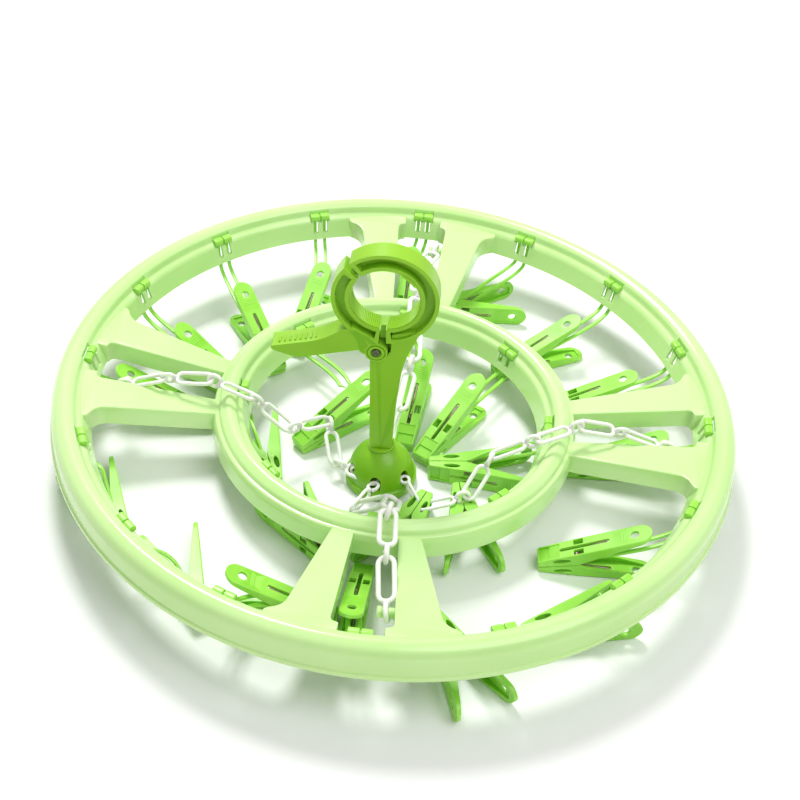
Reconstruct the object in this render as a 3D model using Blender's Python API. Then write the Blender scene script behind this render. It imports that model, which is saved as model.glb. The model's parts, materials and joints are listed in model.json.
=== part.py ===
"""Round clip drying hanger, folded down and lying on a surface.

Units are metres, +Z is up, +X is right and the slots between the spokes lie on the X and Y axes.
The origin is on the surface below the centre of the outer ring.
"""

import math

import bmesh
import bpy
from mathutils import Matrix, Vector

MM = 0.001
GAP = 0.0003  # between pieces that touch

# Frame: two moulded channel rings joined by four pairs of spokes
OUTER_RADIUS = 200 * MM
OUTER_HINGE_RADIUS = 183 * MM
OUTER_HINGE_HEIGHT = 46 * MM
INNER_HINGE_RADIUS = 91 * MM
INNER_HINGE_HEIGHT = 32.6 * MM
RING_DEPTH = 14 * MM  # from a hinge line down to the ring's lower edge
CROWN_RISE = 6 * MM  # from a hinge line up to the top of the crown
WALL = 2 * MM
OUTER_BAND = 6 * MM  # run of the inner band, from the hinge line in to the lower edge
INNER_BAND = 5 * MM
INNER_RING_WIDTH = 22 * MM
INNER_RING_SHALLOWER = 1.1 * MM
OUTER_SEGMENTS = 64
INNER_SEGMENTS = 40
SLOT_HALF_IN = 12 * MM
SLOT_HALF_OUT = 16.5 * MM
SPOKE_WIDTH_IN = 12.5 * MM
SPOKE_WIDTH_OUT = 28 * MM
SPOKE_DEPTH = 13 * MM
POST_RADIUS = 3 * MM
POST_LENGTH = 9 * MM
POST_REACH = 24 * MM  # from the outer hinge line in to the post

# Pegs
OUTER_PEGS = 16
INNER_PEGS = 8
PEG_LENGTH = 64 * MM
TIP_LENGTH = 22 * MM  # from the pivot to the tip
PEG_WIDTH = 13 * MM
TIP_THICKNESS = 3.8 * MM
HANDLE_THICKNESS = 2.2 * MM
SPLAY = math.radians(12)  # between each jaw's back and the middle plane
JAW_GAP = 0.25 * MM
STRAP_SPACING = 6.4 * MM
STRAP_WIDTH = 2.2 * MM
STRAP_THICKNESS = 1.8 * MM
STRAP_STEPS = 6
BARREL_RADIUS = 2.6 * MM
BARREL_LENGTH = 12.6 * MM
BARREL_SIDES = 8

# Hub and hook
HUB_X = -4 * MM
HUB_Y = -27 * MM
HUB_LEAN = math.radians(3)
DOME_RADIUS = 19.5 * MM
DOME_HEIGHT = 27 * MM
DOME_WALL = 2 * MM
FLANGE_RADIUS = 21 * MM
FLANGE_HEIGHT = 3 * MM
COLLAR_RADIUS = 7.5 * MM
SHAFT_RADIUS = 4.5 * MM
SHAFT_CLEARANCE = 0.4 * MM
DOME_SEGMENTS = 28
WINDOWS = 6
WINDOW_START = 25  # degrees
WINDOW_WIDTH = 6.5 * MM
WINDOW_HEIGHT = 9 * MM
WINDOW_SILL = 5.5 * MM
STEM_WIDTH = 13 * MM
STEM_THICKNESS = 9 * MM
CLAMP_X = 1.5 * MM
CLAMP_Z = 135 * MM
CLAMP_RADIUS = 29 * MM
CLAMP_BORE = 19.3 * MM
CLAMP_DEPTH = 12 * MM
PIN_X = -3 * MM
PIN_Z = 99 * MM
PIN_RADIUS = 2.2 * MM
BOSS_RADIUS = 6.3 * MM
LEVER_LENGTH = 57 * MM

# Chains
CHAIN_THICKNESS = 5 * MM

PALE_GREEN = (0.62, 0.87, 0.42, 1)
PEG_GREEN = (0.19, 0.66, 0.08, 1)
HOOK_GREEN = (0.20, 0.42, 0.03, 1)
WHITE = (0.82, 0.84, 0.78, 1)
STEEL = (0.35, 0.33, 0.30, 1)


def clear_scene():
    for obj in list(bpy.data.objects):
        bpy.data.objects.remove(obj, do_unlink=True)


def material(name, colour, roughness, metallic=0.0):
    made = bpy.data.materials.new(name)
    made.use_nodes = True
    shader = made.node_tree.nodes["Principled BSDF"]
    shader.inputs["Base Color"].default_value = colour
    shader.inputs["Roughness"].default_value = roughness
    shader.inputs["Metallic"].default_value = metallic
    made.diffuse_color = colour
    return made


def solid(name, points, faces):
    """A new object from points and faces, with its faces turned outwards."""
    mesh = bpy.data.meshes.new(name)
    mesh.from_pydata([tuple(p) for p in points], [], faces)
    work = bmesh.new()
    work.from_mesh(mesh)
    bmesh.ops.recalc_face_normals(work, faces=work.faces)
    work.to_mesh(mesh)
    work.free()
    obj = bpy.data.objects.new(name, mesh)
    bpy.context.scene.collection.objects.link(obj)
    return obj


def loft(name, rings):
    """A closed solid through rings of equally many points, capped at both ends."""
    count = len(rings[0])
    points = [point for ring in rings for point in ring]
    faces = [tuple(range(count)), tuple(range(len(points) - count, len(points)))]
    for step in range(len(rings) - 1):
        for side in range(count):
            after = (side + 1) % count
            low, high = step * count, (step + 1) * count
            faces.append((low + side, low + after, high + after, high + side))
    return solid(name, points, faces)


def turned(name, profile, segments, start=0.0):
    """A closed ring: the profile's (radius, height) points carried round Z."""
    count = len(profile)
    points, faces = [], []
    for step in range(segments):
        angle = start + math.tau * step / segments
        for radius, height in profile:
            points.append((radius * math.cos(angle), radius * math.sin(angle), height))
        for side in range(count):
            after = (side + 1) % count
            low, high = step * count, (step + 1) % segments * count
            faces.append((low + side, low + after, high + after, high + side))
    return solid(name, points, faces)


def plate(name, outline, low, high):
    """An outline of (x, z) points carried along Y from low to high."""
    return loft(name, [[(x, y, z) for x, z in outline] for y in (low, high)])


def disc(centre, radius, sides, start=0.0):
    steps = [start + math.tau * step / sides for step in range(sides)]
    return [(centre[0] + radius * math.cos(a), centre[1] + radius * math.sin(a)) for a in steps]


def arc(centre, radius, first, last, steps):
    """Points on an arc, from the first angle to the last, in degrees."""
    angles = [math.radians(first + (last - first) * step / steps) for step in range(steps + 1)]
    return [(centre[0] + radius * math.cos(a), centre[1] + radius * math.sin(a)) for a in angles]


def rod(name, start, end, radius, sides):
    start, end = Vector(start), Vector(end)
    turn = (end - start).to_track_quat("Z", "Y").to_matrix()
    rings = [[at + turn @ Vector((x, y, 0)) for x, y in disc((0, 0), radius, sides)] for at in (start, end)]
    return loft(name, rings)


def combine(target, others, operation):
    """Joins the others to the target, or cuts them from it, and removes them."""
    for other in others:
        change = target.modifiers.new(other.name, "BOOLEAN")
        change.operation = operation
        change.solver = "EXACT"
        change.object = other
    graph = bpy.context.evaluated_depsgraph_get()
    graph.update()
    mesh = bpy.data.meshes.new_from_object(target.evaluated_get(graph))
    target.modifiers.clear()
    target.data = mesh
    for other in others:
        bpy.data.objects.remove(other, do_unlink=True)


def finish(obj, made, smooth=True):
    obj.data.materials.clear()
    obj.data.materials.append(made)
    if smooth:
        obj.data.shade_smooth()
        obj.data.set_sharp_from_angle(angle=math.radians(35))


def inward(turn):
    """The horizontal direction from a hinge to the centre, for its clockwise angle from +Y."""
    return Vector((-math.sin(turn), -math.cos(turn), 0))


def along(turn):
    """The hinge axis at that angle, clockwise seen from above."""
    return Vector((math.cos(turn), -math.sin(turn), 0))


# Frame ---------------------------------------------------------------------------------------


def outer_profile():
    """The outer ring's channel section: outer wall, crown, step at the hinges and inner band."""
    edge, hinge, level = OUTER_RADIUS, OUTER_HINGE_RADIUS, OUTER_HINGE_HEIGHT
    low, top = level - RING_DEPTH, level + CROWN_RISE
    middle = (edge + hinge) / 2
    return [
        (edge, low),
        (edge, low + 3.5 * MM),
        (edge - 2.2 * MM, level),
        (edge - 4.5 * MM, top - 1.5 * MM),
        (middle, top),
        (hinge + 3.4 * MM, top - 2.2 * MM),
        (hinge + 1.4 * MM, level - 0.4 * MM),
        (hinge - 1.5 * MM, level - 2.2 * MM),
        (hinge - OUTER_BAND, low),
        (hinge - OUTER_BAND + WALL, low),
        (hinge + 0.8 * MM, level - 3.4 * MM),
        (middle, top - WALL),
        (edge - 5.0 * MM, level + 1 * MM),
        (edge - WALL, low),
    ]


def inner_edge():
    return INNER_HINGE_RADIUS - INNER_BAND + INNER_RING_WIDTH


def inner_depth():
    return RING_DEPTH - INNER_RING_SHALLOWER


def inner_profile():
    """The inner ring's channel section: outer band, groove, crown, step and inner band."""
    hinge, level, edge = INNER_HINGE_RADIUS, INNER_HINGE_HEIGHT, inner_edge()
    low, top = level - inner_depth(), level + CROWN_RISE - 0.3 * MM
    middle = hinge + 7.5 * MM
    return [
        (edge, low),
        (edge - 3.4 * MM, level + 1.2 * MM),
        (edge - 4.6 * MM, level + 2.0 * MM),
        (edge - 6.2 * MM, top - 1.2 * MM),
        (middle, top),
        (hinge + 3.4 * MM, top - 2.0 * MM),
        (hinge + 1.4 * MM, level - 0.4 * MM),
        (hinge - 1.0 * MM, level - 2.2 * MM),
        (hinge - INNER_BAND, low),
        (hinge - INNER_BAND + WALL, low),
        (hinge + 1.0 * MM, level - 3.4 * MM),
        (middle, top - WALL),
        (edge - 5.8 * MM, level),
        (edge - WALL, low),
    ]


def notch_cutters(name, turn, radius, level, depth):
    """The T-shaped seat of one strap: a wide pocket for its barrel and two openings for its legs."""
    across, reach = along(turn), inward(turn)
    seat = -radius * reach + Vector((0, 0, level))
    half = BARREL_LENGTH / 2 + GAP

    def block(label, side_low, side_high, in_low, in_high, z_low, z_high):
        rings = []
        for z in (z_low, z_high):
            corners = ((side_low, in_low), (side_high, in_low), (side_high, in_high), (side_low, in_high))
            rings.append([seat + across * s + reach * i + Vector((0, 0, z)) for s, i in corners])
        return loft(label, rings)

    clear, leg_clear = BARREL_RADIUS + 0.5 * MM, BARREL_RADIUS + 0.2 * MM
    blocks = [block(name + "_seat", -half, half, -clear, 9 * MM, -clear, BARREL_RADIUS + 4 * MM)]
    leg = (STRAP_WIDTH / 2 + 0.5 * MM, STRAP_SPACING / 2)
    for side in (-1, 1):
        middle = side * leg[1]
        blocks.append(
            block(f"{name}_leg{side}", middle - leg[0], middle + leg[0], -leg_clear, 9 * MM, 4 * MM - depth, -1 * MM)
        )
    return blocks


def spoke(name, turn, side):
    """One channel-shaped spoke, beside the slot at the given angle."""
    across, reach = along(turn), inward(turn)
    stations = (
        (inner_edge() - 5 * MM, SLOT_HALF_IN, SPOKE_WIDTH_IN, INNER_HINGE_HEIGHT + 0.6 * MM),
        (OUTER_HINGE_RADIUS + 0.5 * MM, SLOT_HALF_OUT, SPOKE_WIDTH_OUT, OUTER_HINGE_HEIGHT - 0.6 * MM),
    )
    rings = []
    for radius, slot_half, width, top in stations:
        near, far, low = slot_half, slot_half + width, top - SPOKE_DEPTH
        section = (
            (near, low),
            (near, top),
            (far, top),
            (far, low),
            (far - WALL, low),
            (far - WALL, top - WALL),
            (near + WALL, top - WALL),
            (near + WALL, low),
        )
        rings.append([-reach * radius + across * (side * s) + Vector((0, 0, z)) for s, z in section])
    return loft(name, rings)


def post(turn, side):
    """The ends of the round post that a chain hooks over, in the slot at the given angle."""
    across, reach = along(turn), inward(turn)
    radius = OUTER_HINGE_RADIUS - POST_REACH
    share = (radius - inner_edge()) / (OUTER_HINGE_RADIUS - inner_edge())
    slot_half = SLOT_HALF_IN + share * (SLOT_HALF_OUT - SLOT_HALF_IN)
    top = INNER_HINGE_HEIGHT + share * (OUTER_HINGE_HEIGHT - INNER_HINGE_HEIGHT)
    at = -reach * radius + Vector((0, 0, top - SPOKE_DEPTH / 2))
    return at + across * side * (slot_half - POST_LENGTH), at + across * side * (slot_half + 1.5 * MM)


SLOTS = (("back", 0, 1), ("right", 90, 1), ("front", 180, -1), ("left", 270, -1))


def build_frame(finish_green):
    outer = turned("outer_ring", outer_profile(), OUTER_SEGMENTS, math.pi / OUTER_SEGMENTS)
    cutters = []
    for index in range(OUTER_PEGS):
        turn = math.tau * index / OUTER_PEGS
        cutters += notch_cutters(f"o{index}", turn, OUTER_HINGE_RADIUS, OUTER_HINGE_HEIGHT, RING_DEPTH)
    combine(outer, cutters, "DIFFERENCE")
    finish(outer, finish_green)

    inner = turned("inner_ring", inner_profile(), INNER_SEGMENTS, math.pi / INNER_SEGMENTS)
    parts = []
    for label, degrees, post_side in SLOTS:
        turn = math.radians(degrees)
        parts += [spoke(f"{label}_{side}", turn, side) for side in (-1, 1)]
        start, end = post(turn, post_side)
        parts.append(rod(f"{label}_post", start, end, POST_RADIUS, 10))
    combine(inner, parts, "UNION")
    hinge = OUTER_HINGE_RADIUS
    low, level = OUTER_HINGE_HEIGHT - RING_DEPTH, OUTER_HINGE_HEIGHT
    gap = 0.4 * MM
    seat = [
        (hinge - OUTER_BAND - 1.5 * MM - gap, low - 3 * MM),
        (hinge - OUTER_BAND - gap, low),
        (hinge - 1.5 * MM - gap, level - 2.2 * MM),
        (hinge - 1.5 * MM - gap, level + 5 * MM),
        (hinge + 15 * MM, level + 5 * MM),
        (hinge + 15 * MM, low - 3 * MM),
    ]
    envelope = turned("envelope", seat, OUTER_SEGMENTS, math.pi / OUTER_SEGMENTS)
    cutters = [envelope]
    for index in range(INNER_PEGS):
        turn = math.tau * index / INNER_PEGS
        cutters += notch_cutters(f"i{index}", turn, INNER_HINGE_RADIUS, INNER_HINGE_HEIGHT, inner_depth())
    combine(inner, cutters, "DIFFERENCE")
    finish(inner, finish_green)


# Pegs ----------------------------------------------------------------------------------------


def jaw_points(sign):
    """One jaw about its pivot: X towards the tip, Y across the bite, Z along the pivot."""
    handle = PEG_LENGTH - TIP_LENGTH
    slope = math.tan(SPLAY)
    half = PEG_WIDTH / 2

    def back(x):
        return TIP_THICKNESS + (TIP_LENGTH - x) * slope

    inner_end = back(-handle) - HANDLE_THICKNESS
    rise = inner_end / (handle - 1 * MM)
    stations = [
        (TIP_LENGTH, half * 0.86, JAW_GAP),
        (0.0, half, JAW_GAP),
        (-0.3 * handle, half, 0.3 * handle * rise),
        (-handle + half, half, (handle - half) * rise),
        (-handle + half * 0.3, half * 0.72, (handle - half * 0.3) * rise),
        (-handle, half * 0.3, inner_end),
    ]
    rings = []
    for x, width, inner in stations:
        rings.append(
            [
                Vector((x, sign * inner, -width)),
                Vector((x, sign * inner, width)),
                Vector((x, sign * back(x), width)),
                Vector((x, sign * back(x), -width)),
            ]
        )
    return rings


def peg_axes(heading, on_side, flip):
    """The jaw frame (tip, bite and pivot directions) of a peg that lies on the surface."""
    if on_side:
        tip = heading
        bite = Vector((0, 0, 1)).cross(heading) * flip
    else:
        tip = heading * math.cos(SPLAY) - Vector((0, 0, math.sin(SPLAY)))
        bite = heading * math.sin(SPLAY) + Vector((0, 0, math.cos(SPLAY)))
    pivot = tip.cross(bite)
    return Matrix((tip, bite, pivot)).transposed()


def strap_path(start, end, tip, lead):
    """A smooth bend from the ring's lower edge to the pivot, arriving along the peg."""
    down = Vector((0, 0, -1))
    controls = (start, start + down * 8 * MM, end - tip * lead, end)
    points = []
    for step in range(STRAP_STEPS + 1):
        t = step / STRAP_STEPS
        weights = ((1 - t) ** 3, 3 * t * (1 - t) ** 2, 3 * t * t * (1 - t), t**3)
        points.append(sum((c * w for c, w in zip(controls, weights)), Vector()))
    return points


def strap_leg(name, points, first_side, last_side, shift):
    """One of a strap's two flat bands, beside its middle line."""
    rings = []
    for index, at in enumerate(points):
        before, after = points[max(index - 1, 0)], points[min(index + 1, len(points) - 1)]
        run = (after - before).normalized()
        share = max(0, index - 2) / (len(points) - 3)
        side = first_side.lerp(last_side, share)
        side = (side - run * side.dot(run)).normalized()
        up = run.cross(side)
        middle = at + side * shift
        w, t = side * STRAP_WIDTH / 2, up * STRAP_THICKNESS / 2
        rings.append([middle - w - t, middle + w - t, middle + w + t, middle - w + t])
    return loft(name, rings)


def build_peg(name, turn, ring, lie, green):
    """A strap and its two jaws. The lie is where the peg rests, in its hinge's own directions."""
    radius, level, depth, band = ring
    reach, side, yaw, on_side, flip = lie
    across, towards = along(turn), inward(turn)
    hinge = -radius * towards + Vector((0, 0, level))
    heading = (towards * math.cos(math.radians(yaw)) + across * math.sin(math.radians(yaw))).normalized()
    axes = peg_axes(heading, on_side, flip)
    tip, bite, pivot_axis = (axes.col[i].copy() for i in range(3))
    back = TIP_THICKNESS + TIP_LENGTH * math.tan(SPLAY)
    height = PEG_WIDTH / 2 if on_side else back * math.cos(SPLAY)
    pivot = hinge + towards * reach * MM + across * side * MM
    pivot.z = height

    place = Matrix.Translation(pivot) @ axes.to_4x4()
    rings = [[place @ p - hinge for p in ring] for ring in jaw_points(1)]
    piece = loft(f"{name}_strap_jaw", rings)
    leave = band - WALL - STRAP_THICKNESS / 2 - 0.4 * MM
    exit_point = towards * leave - Vector((0, 0, depth + 1.5 * MM))
    end = pivot - hinge - tip * 2 * MM + bite * 2 * MM
    arrive = (tip - bite * 0.08 - Vector((0, 0, 0.9 if on_side else 0))).normalized()
    lead = min(24 * MM if on_side else 42 * MM, 0.75 * (end - exit_point).length)
    behind_band = towards * 0.3 * leave - Vector((0, 0, depth - 3.6 * MM))
    points = [Vector((0, 0, -0.5 * MM)), behind_band] + strap_path(exit_point, end, arrive, lead)
    last_side = pivot_axis if pivot_axis.dot(across) >= 0 or on_side else -pivot_axis
    legs = [
        strap_leg(f"{name}_leg{s}", points, across, last_side, s * STRAP_SPACING / 2) for s in (-1, 1)
    ]
    barrel = rod(f"{name}_barrel", -across * BARREL_LENGTH / 2, across * BARREL_LENGTH / 2, BARREL_RADIUS, BARREL_SIDES)
    combine(piece, [barrel] + legs, "UNION")

    holder = bpy.data.objects.new(f"{name}_hinge", None)
    bpy.context.scene.collection.objects.link(holder)
    holder.location = hinge
    piece.parent = holder
    finish(piece, green)
    other = loft(f"{name}_sprung_jaw", jaw_points(-1))
    other.matrix_world = place
    other.parent = piece
    other.matrix_parent_inverse = Matrix.Translation(hinge).inverted()
    finish(other, green)


# Where each peg lies: reach in from its hinge and shift along it to the pivot (mm), heading from
# inward (degrees), whether it lies on its side, and which way its fixed jaw then faces.
FLAT, SIDE = False, True
OUTER_LIES = (
    (56, -5, 0, FLAT, 1),
    (42, -24, -50, SIDE, -1),
    (66, -8, -14, FLAT, 1),
    (64, -3, -10, FLAT, 1),
    (58, 1, 6, FLAT, 1),
    (49, 31, 26, FLAT, 1),
    (19, 19, 72, SIDE, 1),
    (24, 16, 8, SIDE, -1),
    (58, 6, -2, FLAT, 1),
    (38, -20, -67, FLAT, 1),
    (20, -26, -107, SIDE, -1),
    (10, -25, -77, SIDE, 1),
    (51, 3, -4, FLAT, 1),
    (68, -10, -6, FLAT, 1),
    (68, -14, -10, FLAT, 1),
    (66, -26, -34, FLAT, 1),
)
INNER_LIES = (
    (72, 9, -6, FLAT, 1),
    (66, 16, 13, FLAT, 1),
    (46, 18, 7, SIDE, -1),
    (18, 7, -33, SIDE, -1),
    (25, -17, -20, SIDE, 1),
    (4, -40, -96, SIDE, -1),
    (19, -31, -66, SIDE, -1),
    (60, -27, -91, FLAT, 1),
)


def build_pegs(green):
    outer_ring = (OUTER_HINGE_RADIUS, OUTER_HINGE_HEIGHT, RING_DEPTH, OUTER_BAND)
    inner_ring = (INNER_HINGE_RADIUS, INNER_HINGE_HEIGHT, inner_depth(), INNER_BAND)
    for index, lie in enumerate(OUTER_LIES):
        turn = math.tau * index / OUTER_PEGS
        name = f"outer_peg_{index + 1:02d}"
        build_peg(name, turn, outer_ring, lie, green)
    for index, lie in enumerate(INNER_LIES):
        turn = math.tau * index / INNER_PEGS
        name = f"inner_peg_{index + 1:02d}"
        build_peg(name, turn, inner_ring, lie, green)


# Hub and hook --------------------------------------------------------------------------------


def build_hub(holder, green):
    top = DOME_HEIGHT
    neck = SHAFT_RADIUS + SHAFT_CLEARANCE
    base = FLANGE_HEIGHT + GAP
    outside = [(FLANGE_RADIUS, base), (FLANGE_RADIUS, base + 1.5 * MM)]
    for x, z in arc((0, 0), 1.0, 14, 62, 4):
        outside.append((DOME_RADIUS * x, base + (top - base - 2 * MM) * z / math.sin(math.radians(66))))
    outside += [(COLLAR_RADIUS, top - 1.2 * MM), (COLLAR_RADIUS, top), (neck, top)]
    inside = [(neck, top - 4 * MM), (0.5 * DOME_RADIUS, top - 5 * MM)]
    for x, z in arc((0, 0), 1.0, 52, 8, 2):
        inside.append(((DOME_RADIUS - DOME_WALL) * x, base + (top - base - 4.5 * MM) * z))
    inside.append((DOME_RADIUS - DOME_WALL, base))
    dome = turned("hub_dome", outside + inside, DOME_SEGMENTS)
    cutters = []
    for index in range(WINDOWS):
        angle = math.radians(WINDOW_START - 90) + math.tau * index / WINDOWS
        turn = Matrix.Rotation(angle, 4, "Z")
        half, sill = WINDOW_WIDTH / 2, base + WINDOW_SILL - FLANGE_HEIGHT
        crown = sill + WINDOW_HEIGHT - half
        outline = [(-half, sill), (half, sill)] + arc((0, crown), half, 0, 180, 4)
        window = plate(f"window_{index}", outline, DOME_RADIUS * 0.45, DOME_RADIUS * 1.3)
        window.data.transform(turn)
        cutters.append(window)
    combine(dome, cutters, "DIFFERENCE")
    finish(dome, green)
    dome.parent = holder
    ring = DOME_RADIUS - DOME_WALL - 0.4 * MM
    profile = [(FLANGE_RADIUS, 0), (FLANGE_RADIUS, FLANGE_HEIGHT), (ring, FLANGE_HEIGHT)]
    profile += [(ring, FLANGE_HEIGHT + 2 * MM), (ring - 2 * MM, FLANGE_HEIGHT + 2 * MM)]
    rings = [[(x, y, z) for x, y in disc((0, 0), r, DOME_SEGMENTS)] for r, z in profile]
    base_piece = loft("hub_base", rings)
    finish(base_piece, green)
    base_piece.parent = holder


def clamp_half(name, first, last, steps):
    centre = (CLAMP_X, CLAMP_Z)
    outline = arc(centre, CLAMP_RADIUS, first, last, steps)
    outline += arc(centre, CLAMP_BORE, last, first, steps)
    return plate(name, outline, -CLAMP_DEPTH / 2, CLAMP_DEPTH / 2)


def build_hook(holder, green, steel):
    half = CLAMP_DEPTH / 2
    arm = clamp_half("hook_arm", -84, 134, 22)
    left, right = -STEM_WIDTH / 2, STEM_WIDTH / 2
    stem_outline = [
        (left, DOME_HEIGHT + GAP),
        (right, DOME_HEIGHT + GAP),
        (right, PIN_Z - 14 * MM),
        (right + 2 * MM, PIN_Z - 4 * MM),
        (CLAMP_X + CLAMP_RADIUS * 0.55, CLAMP_Z - CLAMP_RADIUS * 0.78),
        (CLAMP_X + 4 * MM, CLAMP_Z - CLAMP_RADIUS + 5 * MM),
        (PIN_X + BOSS_RADIUS + 1.5 * MM, PIN_Z),
        (PIN_X, PIN_Z - BOSS_RADIUS - 1 * MM),
        (left, PIN_Z - BOSS_RADIUS - 1 * MM),
    ]
    stem = plate("stem", stem_outline, -STEM_THICKNESS / 2, STEM_THICKNESS / 2)
    # The arm's ear is the rear half of the joint, the lever's the front half
    ear_outline = disc((PIN_X, PIN_Z), BOSS_RADIUS, 16)
    ear = plate("ear", ear_outline, GAP / 2, half)
    web_outline = [
        (PIN_X - BOSS_RADIUS * 0.8, PIN_Z - BOSS_RADIUS * 0.5),
        (PIN_X, PIN_Z - BOSS_RADIUS - 3 * MM),
        (right, PIN_Z - BOSS_RADIUS - 3 * MM),
        (CLAMP_X + 8 * MM, CLAMP_Z - CLAMP_RADIUS + 3 * MM),
        (PIN_X, PIN_Z + 2 * MM),
    ]
    web = plate("web", web_outline, GAP / 2, STEM_THICKNESS / 2 + 0.5 * MM)
    shaft = rod("shaft", (0, 0, DOME_HEIGHT - 7 * MM), (0, 0, DOME_HEIGHT + 3 * MM), SHAFT_RADIUS, 16)
    button = rod("button", (0, 0, DOME_HEIGHT - 8 * MM), (0, 0, DOME_HEIGHT - 5.6 * MM), SHAFT_RADIUS + 2 * MM, 16)
    combine(arm, [stem, ear, web, shaft, button], "UNION")
    bore = rod("bore", (PIN_X, -half * 2, PIN_Z), (PIN_X, half * 2, PIN_Z), PIN_RADIUS + GAP, 12)
    front = plate("front", disc((PIN_X, PIN_Z), BOSS_RADIUS + 0.5 * MM, 24), -half * 1.2, GAP / 2)
    combine(arm, [bore, front], "DIFFERENCE")
    finish(arm, green)
    arm.parent = holder

    pin_place = Vector((PIN_X, 0, PIN_Z))
    lever = clamp_half("hook_lever", 137, 258, 12)
    front_ear = plate("front_ear", ear_outline, -half, -GAP / 2)
    neck_outline = [
        (PIN_X - 1 * MM, PIN_Z - BOSS_RADIUS + 1 * MM),
        (PIN_X + 2 * MM, PIN_Z + 5 * MM),
        (CLAMP_X - 6 * MM, CLAMP_Z - CLAMP_RADIUS + 3 * MM),
        (CLAMP_X - 18 * MM, CLAMP_Z - CLAMP_RADIUS + 10 * MM),
        (PIN_X - 9 * MM, PIN_Z),
    ]
    neck = plate("neck", neck_outline, -half, -GAP / 2)
    tip = PIN_X - LEVER_LENGTH
    grip_outline = [
        (PIN_X - 9 * MM, PIN_Z - 2 * MM),
        (CLAMP_X - 12 * MM, CLAMP_Z - CLAMP_RADIUS + 4 * MM),
        (CLAMP_X - 20 * MM, CLAMP_Z - CLAMP_RADIUS + 7 * MM),
        (tip + 10 * MM, PIN_Z + 1 * MM),
        (tip, PIN_Z - 2 * MM),
        (tip + 2 * MM, PIN_Z - 5 * MM),
        (tip + 15 * MM, PIN_Z - 8 * MM),
    ]
    grip = plate("grip", grip_outline, -half, half)
    combine(lever, [front_ear, neck, grip], "UNION")
    bore = rod("bore", (PIN_X, -half * 2, PIN_Z), (PIN_X, half * 2, PIN_Z), PIN_RADIUS + GAP, 12)
    rear = plate("rear", disc((PIN_X, PIN_Z), BOSS_RADIUS + 0.8 * MM, 24), -GAP / 2, half * 1.2)
    combine(lever, [bore, rear], "DIFFERENCE")
    lever.data.transform(Matrix.Translation(-pin_place))
    lever.location = pin_place
    finish(lever, green)
    lever.parent = holder

    pin = rod("hook_pin", (0, -half - 1 * MM, 0), (0, half - 0.5 * MM, 0), PIN_RADIUS, 12)
    head = rod("pin_head", (0, -half - 1.6 * MM, 0), (0, -half - GAP, 0), PIN_RADIUS * 1.6, 12)
    combine(pin, [head], "UNION")
    pin.location = pin_place
    finish(pin, steel)
    pin.parent = holder


# Chains --------------------------------------------------------------------------------------

# Each chain's middle line between its post and its hub window, chosen by hand (mm), and the
# window that it ends in, counted from the first
CHAIN_ROUTES = {
    "back": (2, ((6, 134, 42), (5, 112, 44), (3, 92, 43), (4, 62, 42), (1, 34, 40), (-3, 12, 25))),
    "right": (6, ((132, -3, 42), (112, -4, 44), (92, -8, 43), (70, -12, 41), (46, -24, 38), (26, -40, 25))),
    "front": (5, ((5, -134, 42), (3, -110, 44), (0, -92, 43), (-1, -76, 40), (-5, -62, 28))),
    "left": (
        4,
        ((-130, -4, 42), (-110, -4, 44), (-92, -6, 43), (-76, -13, 41), (-56, -28, 36), (-37, -39, 22)),
    ),
}


def smooth_route(points, spacing):
    """Points at even steps on a smooth curve through the route's own points."""
    ends = [points[0] * 2 - points[1]] + points + [points[-1] * 2 - points[-2]]
    dense = []
    for a, b, c, d in zip(ends, ends[1:], ends[2:], ends[3:]):
        for step in range(20):
            t = step / 20
            bend = (2 * a - 5 * b + 4 * c - d) * t**2 + (3 * b - a - 3 * c + d) * t**3
            dense.append(0.5 * (2 * b + (c - a) * t + bend))
    dense.append(points[-1])
    made, travelled = [dense[0]], 0.0
    for before, after in zip(dense, dense[1:]):
        travelled += (after - before).length
        if travelled >= spacing:
            made.append(after)
            travelled = 0.0
    if (made[-1] - dense[-1]).length > spacing / 2:
        made.append(dense[-1])
    return made


def build_chains(white, holder):
    bpy.context.view_layer.update()
    radius = CHAIN_THICKNESS / 2
    for label, degrees, post_side in SLOTS:
        window, middle = CHAIN_ROUTES[label]
        turn = math.radians(degrees)
        free, root = post(turn, post_side)
        start = free.lerp(root, 0.45) + inward(turn) * (POST_RADIUS + 1 * MM)
        angle = math.radians(WINDOW_START) + math.tau * (window - 1) / WINDOWS
        sill = GAP + WINDOW_SILL + WINDOW_HEIGHT / 2
        ends = []
        for reach in (DOME_RADIUS + 8 * MM, DOME_RADIUS - DOME_WALL):
            at = Vector((reach * math.cos(angle), reach * math.sin(angle), sill))
            ends.append(holder.matrix_world @ at)
        route = [start] + [Vector(point) * MM for point in middle] + ends
        line = bpy.data.curves.new(f"chain_{label}", "CURVE")
        line.dimensions = "3D"
        line.bevel_depth = radius
        line.bevel_resolution = 1
        line.use_fill_caps = True
        points = smooth_route(route, 2 * CHAIN_THICKNESS)
        spline = line.splines.new("POLY")
        spline.points.add(len(points) - 1)
        for target, at in zip(spline.points, points):
            target.co = (*at, 1)
        obj = bpy.data.objects.new(f"chain_{label}", line)
        bpy.context.scene.collection.objects.link(obj)
        line.materials.append(white)


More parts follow.
